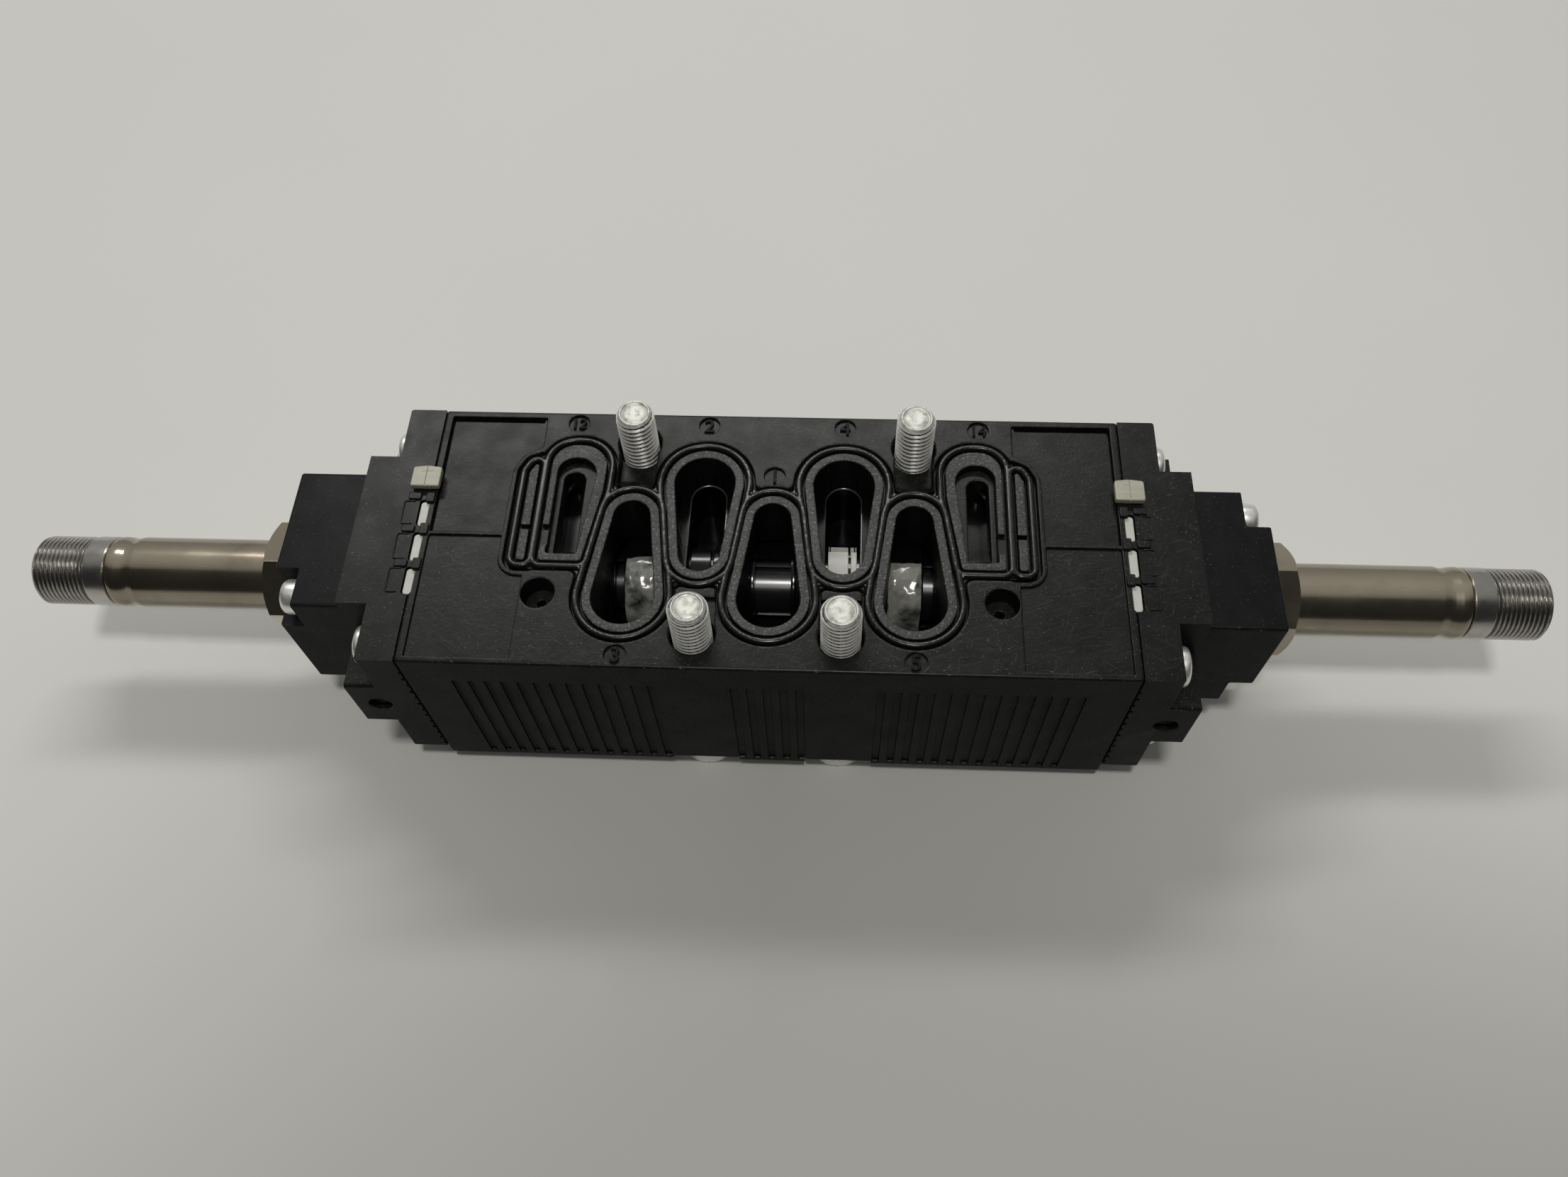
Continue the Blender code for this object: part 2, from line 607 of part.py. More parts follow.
def bore_cutter():
    """The through bore, wider at both ends for the pistons."""
    end = BODY_END_X + PAST
    return turned("bore", ((0.0, end), (CHAMBER_R, end), (CHAMBER_R, CHAMBER_START_X),
                           (BORE_R, CHAMBER_START_X), (BORE_R, -CHAMBER_START_X),
                           (CHAMBER_R, -CHAMBER_START_X), (CHAMBER_R, -end), (0.0, -end)),
                  "", 1, WIDE_ROUND, collection=CUTTERS)


def end_cutters():
    """Plate seats, windows, key slots, cap screw holes and air channels."""
    seats = bmesh.new()
    openings = bmesh.new()
    holes = bmesh.new()
    for _, side in SIDES:
        add_side_box(seats, side, (PLATE_IN_X - SEAT_GAP, CAP_IN_X + PAST),
                     (-PLATE_HALF_Y - SEAT_GAP, PLATE_HALF_Y + SEAT_GAP),
                     (PLATE_BOTTOM_Z - SEAT_GAP, PLATE_TOP_Z + SEAT_GAP))
        for low_y, high_y in WINDOWS:
            add_side_box(openings, side, (PLATE_IN_X - SEAT_GAP, CAP_IN_X + PAST),
                         (low_y - SEAT_GAP, high_y + SEAT_GAP), (PLATE_TOP_Z - PAST, FACE_Z + PAST))
        add_side_box(openings, side, (PLATE_IN_X - SEAT_GAP, CAP_IN_X + PAST),
                     (KEY_STEM_Y[0] - SEAT_GAP, KEY_STEM_Y[1] + SEAT_GAP),
                     (PLATE_TOP_Z - PAST, FACE_Z + PAST))
        for y, z in cap_screw_places():
            add_cylinder(holes, (side * (CAP_FLANGE_X - CAP_SCREW_LENGTH - SEAT_GAP), y, z),
                         (side * (BODY_END_X + PAST), y, z), CAP_SCREW_R + SEAT_GAP, FINE)
        add_cylinder(holes, (side * PILOT_X, CHANNEL_Y, FACE_Z - CHANNEL_DEPTH),
                     (side * (BODY_END_X + PAST), CHANNEL_Y, FACE_Z - CHANNEL_DEPTH), CHANNEL_R, FINE)
    return [cutter("plate_seats", seats), cutter("windows", openings), cutter("end_holes", holes)]


def add_side_box(mesh, side, x_range, y_range, z_range):
    """A box whose X range is measured outward on one side."""
    low_x, high_x = sorted((side * x_range[0], side * x_range[1]))
    add_box(mesh, (low_x, y_range[0], z_range[0]), (high_x, y_range[1], z_range[1]))


def cap_screw_places():
    """Y and Z of the four screws of one end cap."""
    return [(y, AXIS_Z + z) for z in (CAP_SCREW_DZ, -CAP_SCREW_DZ) for y in (CAP_SCREW_Y, -CAP_SCREW_Y)]


def build_main_body():
    block = bmesh.new()
    add_box(block, (-BODY_END_X, -HALF_Y, BOTTOM_Z), (BODY_END_X, HALF_Y, FACE_Z))
    body = mesh_object("main_body", block, "black_plastic")
    add_bevel(body, BODY_BEVEL)
    tools = [groove_cutter()] + well_cutters() + [bore_cutter()]
    tools += stud_cutters() + face_cutters() + end_cutters()
    for tool in tools:
        combine(body, tool, "DIFFERENCE")
    merge_flats(body)


def build_port_gasket():
    """One rubber gasket whose ribs run round all the port lands."""
    low = FACE_Z - GROOVE_DEPTH + SEAT_GAP
    high = FACE_Z + GASKET_STANDOUT
    gasket = joined_prisms("port_gasket", loop_outlines(PORT_LAND + GROOVE_WIDTH - SEAT_GAP, 0.0),
                           low, high, "black_rubber", PARTS)
    holes = [("port_%d" % i, shape(x, PORT_LAND + SEAT_GAP)) for i, (shape, x) in enumerate(all_ports())]
    for name, side in SIDES:
        holes.append(("pilot_" + name, pilot_land(side, SEAT_GAP)))
        holes.append(("pocket_" + name, side_pocket(side)))
    for name, outline in holes:
        combine(gasket, prism("gasket_hole_" + name, outline, low - PAST, high + PAST), "DIFFERENCE")
    merge_flats(gasket)


# --------------------------------------------------------------- fasteners
def build_mounting_screws():
    """Socket-head screws that stand out of the mounting face."""
    tip = FACE_Z + STUD_STANDOUT
    for index, (x, y) in enumerate(screw_places()):
        name = "mounting_screw_%d" % (index + 1)
        screw = turned(name, ((0.0, tip), (STUD_R - STUD_CHAMFER, tip), (STUD_R, tip - STUD_CHAMFER),
                              (STUD_R, HEAD_HEIGHT), (HEAD_R, HEAD_HEIGHT), (HEAD_R, 0.0), (0.0, 0.0)),
                       "zinc_steel")
        screw.location = (x, y, 0.0)
        screw.rotation_euler = (0.0, 0.0, 0.0)
        socket = bmesh.new()
        add_cylinder(socket, (x, y, -PAST), (x, y, KEY_DEPTH), KEY_SIZE / math.sqrt(3), 6)
        combine(screw, cutter(name + "_socket", socket), "DIFFERENCE")


def pan_screw(name, side, seat_x, place, shank_r, length, head_r, head_height):
    """A pan-head screw along X; seat_x is the face its head lies on."""
    under = seat_x + SEAT_GAP
    top = under + head_height
    round_off = head_height / 3
    turned(name, ((0.0, top), (head_r - round_off, top), (head_r, top - round_off), (head_r, under),
                  (shank_r, under), (shank_r, seat_x - length), (0.0, seat_x - length)),
           "zinc_steel", side, FINE, place)


def build_cap_screws():
    for side_name, side in SIDES:
        for index, place in enumerate(cap_screw_places()):
            pan_screw("cap_screw_%s_%d" % (side_name, index + 1), side, CAP_FLANGE_X, place,
                      CAP_SCREW_R, CAP_SCREW_LENGTH, CAP_HEAD_R, CAP_HEAD_HEIGHT)


def pilot_screw_places(side):
    """Y and Z of the two screws of one pilot body, on a diagonal."""
    reach = PILOT_HALF - PILOT_CORNER / 2
    return ((side * reach, AXIS_Z + reach), (-side * reach, AXIS_Z - reach))


def build_pilot_screws():
    for side_name, side in SIDES:
        for index, place in enumerate(pilot_screw_places(side)):
            pan_screw("pilot_screw_%s_%d" % (side_name, index + 1), side, PILOT_OUT_X - PILOT_CORNER_DEPTH,
                      place, PILOT_SCREW_R, PILOT_SCREW_LENGTH, PILOT_HEAD_R, PILOT_HEAD_HEIGHT)


# ------------------------------------------------ end caps and their plates
def build_interface_plates():
    """White plates whose lugs show through the windows of the joint."""
    for name, side in SIDES:
        plate = bmesh.new()
        add_side_box(plate, side, (PLATE_IN_X, PLATE_OUT_X), (-PLATE_HALF_Y, PLATE_HALF_Y),
                     (PLATE_BOTTOM_Z, PLATE_TOP_Z))
        item = mesh_object("interface_plate_" + name, plate, "white_plastic")
        lugs = bmesh.new()
        for low_y, high_y in WINDOWS:
            add_side_box(lugs, side, (PLATE_IN_X, PLATE_OUT_X), (low_y, high_y),
                         (PLATE_TOP_Z - PAST, FACE_Z - SEAT_GAP))
        combine(item, cutter("lugs_" + name, lugs), "UNION")
        holes = bmesh.new()
        ends = (side * (PLATE_IN_X - PAST), side * (PLATE_OUT_X + PAST))
        add_cylinder(holes, (ends[0], 0, AXIS_Z), (ends[1], 0, AXIS_Z), AIR_HOLE_R, FINE)
        add_cylinder(holes, (ends[0], CHANNEL_Y, FACE_Z - CHANNEL_DEPTH),
                     (ends[1], CHANNEL_Y, FACE_Z - CHANNEL_DEPTH), CHANNEL_R, FINE)
        for y, z in cap_screw_places():
            add_cylinder(holes, (ends[0], y, z), (ends[1], y, z), CAP_SCREW_R + SEAT_GAP, FINE)
        combine(item, cutter("plate_holes_" + name, holes), "DIFFERENCE")


def build_selector_keys():
    """Ivory keys: a head on the face and a stem between body and cap."""
    for name, side in SIDES:
        head = bmesh.new()
        add_side_box(head, side, KEY_HEAD_X, KEY_HEAD_Y, (FACE_Z + SEAT_GAP, FACE_Z + KEY_HEAD_RISE))
        key = mesh_object("selector_key_" + name, head, "ivory_plastic")
        stem = bmesh.new()
        add_side_box(stem, side, (PLATE_IN_X, PLATE_OUT_X), KEY_STEM_Y,
                     (FACE_Z - KEY_STEM_DEPTH, FACE_Z + KEY_HEAD_RISE / 2))
        combine(key, cutter("key_stem_" + name, stem), "UNION")


def build_end_caps():
    """Stepped caps: a flange, a central boss and a full-width band."""
    for name, side in SIDES:
        flange = bmesh.new()
        add_side_box(flange, side, (CAP_IN_X, CAP_FLANGE_X), (-CAP_HALF_Y, CAP_HALF_Y),
                     (CAP_BOTTOM_Z, FACE_Z))
        cap = mesh_object("end_cap_" + name, flange, "black_plastic")
        boss = bmesh.new()
        add_side_box(boss, side, (CAP_IN_X + PAST, CAP_BOSS_X), (-CAP_BOSS_HALF_Y, CAP_BOSS_HALF_Y),
                     (CAP_BOTTOM_Z, FACE_Z))
        combine(cap, cutter("cap_boss_" + name, boss), "UNION")
        band = bmesh.new()
        add_side_box(band, side, (CAP_IN_X, CAP_BAND_X), (-HALF_Y, HALF_Y),
                     (AXIS_Z - BAND_HALF, AXIS_Z + BAND_HALF))
        combine(cap, cutter("cap_band_" + name, band), "UNION")
        for tool in cap_cutters(name, side):
            combine(cap, tool, "DIFFERENCE")


def cap_cutters(name, side):
    seat = bmesh.new()
    add_side_box(seat, side, (CAP_IN_X - PAST, PLATE_OUT_X + SEAT_GAP),
                 (-PLATE_HALF_Y - SEAT_GAP, PLATE_HALF_Y + SEAT_GAP),
                 (PLATE_BOTTOM_Z - SEAT_GAP, PLATE_TOP_Z + SEAT_GAP))
    openings = bmesh.new()
    for low_y, high_y in WINDOWS + (KEY_STEM_Y,):
        add_side_box(openings, side, (CAP_IN_X - PAST, PLATE_OUT_X + SEAT_GAP),
                     (low_y - SEAT_GAP, high_y + SEAT_GAP), (PLATE_TOP_Z - PAST, FACE_Z + PAST))
    holes = bmesh.new()
    for y, z in cap_screw_places():
        add_cylinder(holes, (side * (CAP_IN_X - PAST), y, z), (side * (CAP_FLANGE_X + PAST), y, z),
                     CAP_SCREW_R + SEAT_GAP, FINE)
    add_cylinder(holes, (side * (CAP_IN_X - PAST), 0, AXIS_Z), (side * (CAP_BOSS_X + PAST), 0, AXIS_Z),
                 AIR_HOLE_R, FINE)
    for y, z in pilot_screw_places(side):
        reach = PILOT_OUT_X - PILOT_CORNER_DEPTH - PILOT_SCREW_LENGTH - SEAT_GAP
        add_cylinder(holes, (side * reach, y, z), (side * (CAP_BOSS_X + PAST), y, z),
                     PILOT_SCREW_R + SEAT_GAP, FINE)
    add_cylinder(holes, (side * OVERRIDE_X, -HALF_Y - PAST, AXIS_Z),
                 (side * OVERRIDE_X, override_end() + OVERRIDE_STROKE + SEAT_GAP, AXIS_Z),
                 OVERRIDE_R + SLIDE_GAP, FINE)
    return [cutter("cap_seat_" + name, seat), cutter("cap_windows_" + name, openings),
            cutter("cap_holes_" + name, holes)]


def override_end():
    """Y of the inner end of a manual override at rest."""
    return -HALF_Y + OVERRIDE_RECESS + OVERRIDE_LENGTH


def build_manual_overrides():
    """Sprung pins, pushed in from the near side; origin on the pin's axis."""
    for name, side in SIDES:
        pin = turned("manual_override_" + name,
                     ((0.0, OVERRIDE_LENGTH), (OVERRIDE_R - OVERRIDE_ROUND, OVERRIDE_LENGTH),
                      (OVERRIDE_R, OVERRIDE_LENGTH - OVERRIDE_ROUND), (OVERRIDE_R, 0.0), (0.0, 0.0)),
                     "black_plastic", 1, FINE)
        pin.location = (side * OVERRIDE_X, override_end(), AXIS_Z)
        pin.rotation_euler = (math.radians(90), 0.0, 0.0)


# -------------------------------------------------------------- pilot valves
def build_pilot_bodies():
    for name, side in SIDES:
        block = bmesh.new()
        add_side_box(block, side, (PILOT_IN_X, PILOT_OUT_X), (-PILOT_HALF, PILOT_HALF),
                     (AXIS_Z - PILOT_HALF, AXIS_Z + PILOT_HALF))
        pilot = mesh_object("pilot_body_" + name, block, "black_plastic")
        add_bevel(pilot, BODY_BEVEL)
        corners = bmesh.new()
        holes = bmesh.new()
        for y, z in pilot_screw_places(side):
            out_y = math.copysign(PILOT_HALF + PAST, y)
            out_z = AXIS_Z + math.copysign(PILOT_HALF + PAST, z - AXIS_Z)
            in_y = math.copysign(PILOT_HALF - PILOT_CORNER, y)
            in_z = AXIS_Z + math.copysign(PILOT_HALF - PILOT_CORNER, z - AXIS_Z)
            add_side_box(corners, side, (PILOT_OUT_X - PILOT_CORNER_DEPTH, PILOT_OUT_X + PAST),
                         sorted((in_y, out_y)), sorted((in_z, out_z)))
            add_cylinder(holes, (side * (PILOT_IN_X - PAST), y, z), (side * PILOT_OUT_X, y, z),
                         PILOT_SCREW_R + SEAT_GAP, FINE)
        gasket_end = PILOT_IN_X + PILOT_GASKET_THICK + SEAT_GAP
        seat = bmesh.new()
        add_side_box(seat, side, (PILOT_IN_X - PAST, gasket_end),
                     (-PILOT_CORNER, PILOT_CORNER),
                     (AXIS_Z - PILOT_GASKET_HALF - SEAT_GAP, AXIS_Z + PILOT_GASKET_HALF + SEAT_GAP))
        bores = bmesh.new()
        add_cylinder(bores, (side * SPIGOT_BORE_START_X, 0, AXIS_Z),
                     (side * (PILOT_OUT_X + PAST), 0, AXIS_Z), NUT_SPIGOT_R + SEAT_GAP, WIDE_ROUND)
        throat = bmesh.new()
        add_cylinder(throat, (side * (PILOT_IN_X - PAST), 0, AXIS_Z), (side * PILOT_OUT_X, 0, AXIS_Z),
                     SEAT_R + SEAT_GAP, ROUND)
        chamber = bmesh.new()
        add_cylinder(chamber, (side * (SEAT_TIP_X - SEAT_GAP), 0, AXIS_Z), (side * PILOT_OUT_X, 0, AXIS_Z),
                     CORE_R + 2 * SEAT_GAP, ROUND)
        for label, tool in (("corners", corners), ("screw_holes", holes), ("gasket_seat", seat),
                            ("spigot_bore", bores), ("throat", throat), ("plunger_space", chamber)):
            combine(pilot, cutter(label + "_" + name, tool), "DIFFERENCE")


def build_pilot_gaskets():
    for name, side in SIDES:
        sheet = bmesh.new()
        add_side_box(sheet, side, (PILOT_IN_X, PILOT_IN_X + PILOT_GASKET_THICK),
                     (-PILOT_CORNER + SEAT_GAP, PILOT_CORNER - SEAT_GAP),
                     (AXIS_Z - PILOT_GASKET_HALF, AXIS_Z + PILOT_GASKET_HALF))
        gasket = mesh_object("pilot_gasket_" + name, sheet, "black_rubber")
        hole = bmesh.new()
        add_cylinder(hole, (side * (PILOT_IN_X - PAST), 0, AXIS_Z), (side * (PILOT_OUT_X), 0, AXIS_Z),
                     AIR_HOLE_R, FINE)
        combine(gasket, cutter("gasket_air_hole_" + name, hole), "DIFFERENCE")


def build_pilot_seats():
    """Brass nozzles that the plungers close."""
    back = PILOT_IN_X + PILOT_GASKET_THICK + SEAT_GAP
    for name, side in SIDES:
        turned("pilot_seat_" + name,
               ((SEAT_ORIFICE_R + SEAT_LIP, SEAT_TIP_X), (SEAT_R, SEAT_TIP_X - SEAT_CONE), (SEAT_R, back),
                (SEAT_ORIFICE_R, back), (SEAT_ORIFICE_R, SEAT_TIP_X)), "brass", side, ROUND)


def build_tube_nuts():
    """Hexagon nuts whose spigots screw into the pilot bodies."""
    inner = SPIGOT_BORE_START_X + SEAT_GAP
    for name, side in SIDES:
        hexagon = bmesh.new()
        turn = math.radians(15 if side < 0 else 0)
        add_cylinder(hexagon, (side * (PILOT_OUT_X + SEAT_GAP), 0, AXIS_Z), (side * NUT_FACE_X, 0, AXIS_Z),
                     NUT_ACROSS_FLATS / math.sqrt(3), 6, turn)
        nut = mesh_object("tube_nut_" + name, hexagon, "nickel")
        spigot = bmesh.new()
        add_cylinder(spigot, (side * inner, 0, AXIS_Z), (side * (NUT_FACE_X - PAST), 0, AXIS_Z),
                     NUT_SPIGOT_R, WIDE_ROUND)
        combine(nut, cutter("spigot_" + name, spigot), "UNION")
        hole = bmesh.new()
        add_cylinder(hole, (side * (inner - PAST), 0, AXIS_Z), (side * (NUT_FACE_X + PAST), 0, AXIS_Z),
                     TUBE_R + SEAT_GAP, ROUND)
        combine(nut, cutter("nut_hole_" + name, hole), "DIFFERENCE")


def build_armature_tubes():
    """Thin tubes with a rolled bead near the outer end."""
    inner = SPIGOT_BORE_START_X + 2 * SEAT_GAP
    hollow = TUBE_R - TUBE_WALL
    neck = TUBE_R - TUBE_BEAD_GROOVE
    bead = TUBE_BEAD_X
    slope = TUBE_BEAD_SLOPE
    for name, side in SIDES:
        turned("armature_tube_" + name,
               ((TUBE_R - TUBE_ROUND, TUBE_END_X), (TUBE_R, TUBE_END_X - 2 * TUBE_ROUND),
                (TUBE_R, bead + 3 * slope), (neck, bead + 2 * slope), (neck, bead + slope), (TUBE_R, bead),
                (TUBE_R, inner), (hollow, inner), (hollow, TUBE_END_X)), "nickel", side, ROUND)


def core_face():
    """X of the fixed core's inner face, which stops the plunger."""
    return SEAT_TIP_X + SEAT_GAP + PLUNGER_LENGTH + PLUNGER_STROKE + SEAT_GAP


def build_fixed_cores():
    """Cores that plug the tubes, with the threaded ends for the coil nuts."""
    shoulder = TUBE_END_X + SEAT_GAP
    for name, side in SIDES:
        turned("fixed_core_" + name,
               ((0.0, CORE_END_X), (CORE_THREAD_R - CORE_CHAMFER, CORE_END_X),
                (CORE_THREAD_R, CORE_END_X - CORE_CHAMFER), (CORE_THREAD_R, CORE_THREAD_X),
                (CORE_SHOULDER_R, CORE_THREAD_X), (CORE_SHOULDER_R, shoulder), (CORE_R, shoulder),
                (CORE_R, core_face()), (0.0, core_face())), "grey_steel", side, ROUND)


def spring_pocket():
    """X of the floor of the plunger's spring pocket at rest."""
    return core_face() - 2 * SEAT_GAP - SPRING_LENGTH


def build_plungers():
    """Moving armatures; each is hollow at the back for its spring."""
    front = SEAT_TIP_X + SEAT_GAP
    back = front + PLUNGER_LENGTH
    pocket_r = SPRING_COIL_R + SPRING_WIRE_R + SLIDE_GAP
    for name, side in SIDES:
        turned("plunger_" + name,
               ((0.0, spring_pocket()), (pocket_r, spring_pocket()), (pocket_r, back),
                (CORE_R - PLUNGER_BEVEL, back), (CORE_R, back - PLUNGER_BEVEL),
                (CORE_R, front + PLUNGER_BEVEL), (CORE_R - PLUNGER_BEVEL, front), (0.0, front)),
               "grey_steel", side, ROUND)


def build_plunger_springs():
    """Coil springs between each plunger and its fixed core."""
    wire_clear = SPRING_WIRE_R + SEAT_GAP
    low = spring_pocket() + wire_clear
    high = core_face() - wire_clear
    for name, side in SIDES:
        curve = bpy.data.curves.new("plunger_spring_" + name, "CURVE")
        curve.dimensions = "3D"
        curve.bevel_depth = SPRING_WIRE_R
        curve.bevel_resolution = 1
        curve.use_fill_caps = True
        curve.render_resolution_u = 0
        count = SPRING_TURNS * COIL_POINTS + 1
        spline = curve.splines.new("POLY")
        spline.points.add(count - 1)
        for index, point in enumerate(spline.points):
            angle = math.tau * index / COIL_POINTS
            along = low + (high - low) * index / (count - 1)
            point.co = (side * along, SPRING_COIL_R * math.cos(angle), SPRING_COIL_R * math.sin(angle), 1.0)
        item = finish_object("plunger_spring_" + name, curve, "spring_steel", PARTS)
        item.location = (0.0, 0.0, AXIS_Z)


# -------------------------------------------------------- spool and its bore
def spool_shift():
    """Rest place of the spool: shifted fully towards the left."""
    return -SPOOL_STROKE / 2


def build_spool():
    """The spool, with a stem at each end for the pistons."""
    stem_end = PISTON_X[1] - SEAT_GAP
    shoulder = PISTON_X[0] - SEAT_GAP
    outer_land = 2 * PORT_PITCH + OUTER_LAND
    land_out = PORT_PITCH + LAND_HALF
    land_in = PORT_PITCH - LAND_HALF
    half = [(PISTON_STEM_R, stem_end), (PISTON_STEM_R, shoulder), (SPOOL_R, shoulder),
            (SPOOL_R, outer_land), (SPOOL_WAIST_R, outer_land - SPOOL_SLOPE),
            (SPOOL_WAIST_R, land_out + SPOOL_SLOPE), (SPOOL_R, land_out), (SPOOL_R, land_in),
            (SPOOL_WAIST_R, land_in - SPOOL_SLOPE)]
    other = [(radius, -along) for radius, along in reversed(half)]
    profile = [(0.0, stem_end)] + half + other + [(0.0, -stem_end)]
    spool = turned("spool", profile, "black_aluminium", 1, ROUND)
    spool.location.x = spool_shift()


def build_pistons():
    """Pistons pressed on the spool's stems, each with a seal ring."""
    middle = (PISTON_X[0] + PISTON_X[1]) / 2
    groove = PISTON_SEAL_WIDTH / 2 + SEAT_GAP
    hole = PISTON_STEM_R + SEAT_GAP
    seal_r = CHAMBER_R - SEAT_GAP
    for name, side in SIDES:
        piston = turned("piston_" + name,
                        ((hole, PISTON_X[1]), (PISTON_R, PISTON_X[1]), (PISTON_R, middle + groove),
                         (PISTON_GROOVE_R, middle + groove), (PISTON_GROOVE_R, middle - groove),
                         (PISTON_R, middle - groove), (PISTON_R, PISTON_X[0]), (hole, PISTON_X[0])),
                        "white_plastic", side, WIDE_ROUND)
        piston.location.x = spool_shift()
        seal = turned("piston_seal_" + name,
                      ((PISTON_GROOVE_R + SEAT_GAP, middle + PISTON_SEAL_WIDTH / 2),
                       (seal_r, middle + PISTON_SEAL_WIDTH / 2), (seal_r, middle - PISTON_SEAL_WIDTH / 2),
                       (PISTON_GROOVE_R + SEAT_GAP, middle - PISTON_SEAL_WIDTH / 2)),
                      "black_rubber", side, WIDE_ROUND)
        seal.location.x = spool_shift()


def build_seal_cages():
    """Slotted rings under the ports, which hold the seals apart."""
    half = (PORT_PITCH - SEAL_WIDTH) / 2 - SEAT_GAP
    outer = BORE_R - SEAT_GAP
    inner = SPOOL_R + SEAT_GAP
    for index, port_number in enumerate((3, 2, 1, 4, 5)):
        x = (index - 2) * PORT_PITCH
        finish = "white_plastic" if port_number == 4 else "black_plastic"
        cage = turned("seal_cage_%d" % port_number,
                      ((inner, half), (outer, half), (outer, -half), (inner, -half)), finish, 1, ROUND)
        cage.location.x = x
        windows = bmesh.new()
        reach = outer + PAST
        for low_y, high_y in ((-reach, -CAGE_RIB_HALF), (CAGE_RIB_HALF, reach)):
            for low_z, high_z in ((-reach, -CAGE_RIB_HALF), (CAGE_RIB_HALF, reach)):
                add_box(windows, (x - CAGE_WINDOW / 2, low_y, AXIS_Z + low_z),
                        (x + CAGE_WINDOW / 2, high_y, AXIS_Z + high_z))
        combine(cage, cutter("cage_windows_%d" % port_number, windows), "DIFFERENCE")


def build_spool_seals():
    """Rings that the spool slides through, one on each side of each cage."""
    outer = BORE_R - SEAT_GAP
    inner = SPOOL_R + SLIDE_GAP
    for index in range(6):
        seal = turned("spool_seal_%d" % (index + 1),
                      ((inner, SEAL_WIDTH / 2), (outer, SEAL_WIDTH / 2), (outer, -SEAL_WIDTH / 2),
                       (inner, -SEAL_WIDTH / 2)), "black_rubber", 1, ROUND)
        seal.location.x = (index - 2.5) * PORT_PITCH


def build_end_bushes():
    """Flanged bushes that close the seal stack and guide the spool."""
    start = 2.5 * PORT_PITCH + SEAL_WIDTH / 2 + SEAT_GAP
    shoulder = CHAMBER_START_X + SEAT_GAP
    end = shoulder + BUSH_FLANGE
    inner = SPOOL_R + SLIDE_GAP
    for name, side in SIDES:
        turned("end_bush_" + name,
               ((inner, end), (PISTON_R, end), (PISTON_R, shoulder), (BORE_R - SEAT_GAP, shoulder),
                (BORE_R - SEAT_GAP, start), (inner, start)), "black_plastic", side, WIDE_ROUND)


def main():
    for item in list(bpy.data.objects):
        bpy.data.objects.remove(item)
    bpy.context.scene.collection.children.link(PARTS)
    bpy.context.scene.collection.children.link(CUTTERS)
    build_main_body()
    build_port_gasket()
    build_mounting_screws()
    build_cap_screws()
    build_pilot_screws()
    build_interface_plates()
    build_selector_keys()
    build_end_caps()
    build_manual_overrides()
    build_pilot_bodies()
    build_pilot_gaskets()
    build_pilot_seats()
    build_tube_nuts()
    build_armature_tubes()
    build_fixed_cores()
    build_plungers()
    build_plunger_springs()
    build_spool()
    build_pistons()
    build_seal_cages()
    build_spool_seals()
    build_end_bushes()


main()
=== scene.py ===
"""Looks of the solenoid directional valve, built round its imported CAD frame.

Shape helpers work in millimetres in the frame of the CAD part: +X along the
spool, +Z out of the mounting face, origin at the bottom centre.  A piece is
turned into metres when its mesh is made.
"""
import math

import bmesh
import bpy
import numpy as np
from mathutils import Matrix, Vector, noise


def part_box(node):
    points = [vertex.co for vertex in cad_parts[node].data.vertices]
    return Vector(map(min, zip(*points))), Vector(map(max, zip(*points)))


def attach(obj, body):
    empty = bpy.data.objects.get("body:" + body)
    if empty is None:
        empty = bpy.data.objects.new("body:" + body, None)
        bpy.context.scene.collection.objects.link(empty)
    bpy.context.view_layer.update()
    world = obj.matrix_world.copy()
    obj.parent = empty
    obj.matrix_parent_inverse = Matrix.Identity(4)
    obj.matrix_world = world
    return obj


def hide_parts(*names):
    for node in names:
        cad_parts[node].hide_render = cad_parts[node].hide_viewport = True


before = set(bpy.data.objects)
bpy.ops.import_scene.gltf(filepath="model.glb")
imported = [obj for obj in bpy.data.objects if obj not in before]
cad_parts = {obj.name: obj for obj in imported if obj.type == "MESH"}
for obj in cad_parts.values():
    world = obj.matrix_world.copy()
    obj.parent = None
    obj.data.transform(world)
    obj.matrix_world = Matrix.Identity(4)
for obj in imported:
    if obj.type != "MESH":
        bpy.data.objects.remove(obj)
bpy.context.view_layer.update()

MM = 0.001
ROOT = "valve_body"
SIDES = (("left", -1), ("right", 1))


# ------------------------------------------------------- places, from the CAD
def box(node):
    """Lowest and highest corner of a CAD node, in millimetres."""
    low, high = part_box(node)
    return low / MM, high / MM


def middle(node):
    low, high = box(node)
    return (low + high) / 2


BODY_LOW, BODY_HIGH = box("main_body")
BODY_END_X = BODY_HIGH.x
HALF_Y = BODY_HIGH.y
BOTTOM_Z = BODY_LOW.z
FACE_Z = BODY_HIGH.z
AXIS_Z = middle("armature_tube_right").z
PITCH = middle("seal_cage_4").x
GASKET_TOP = box("port_gasket")[1].z - FACE_Z

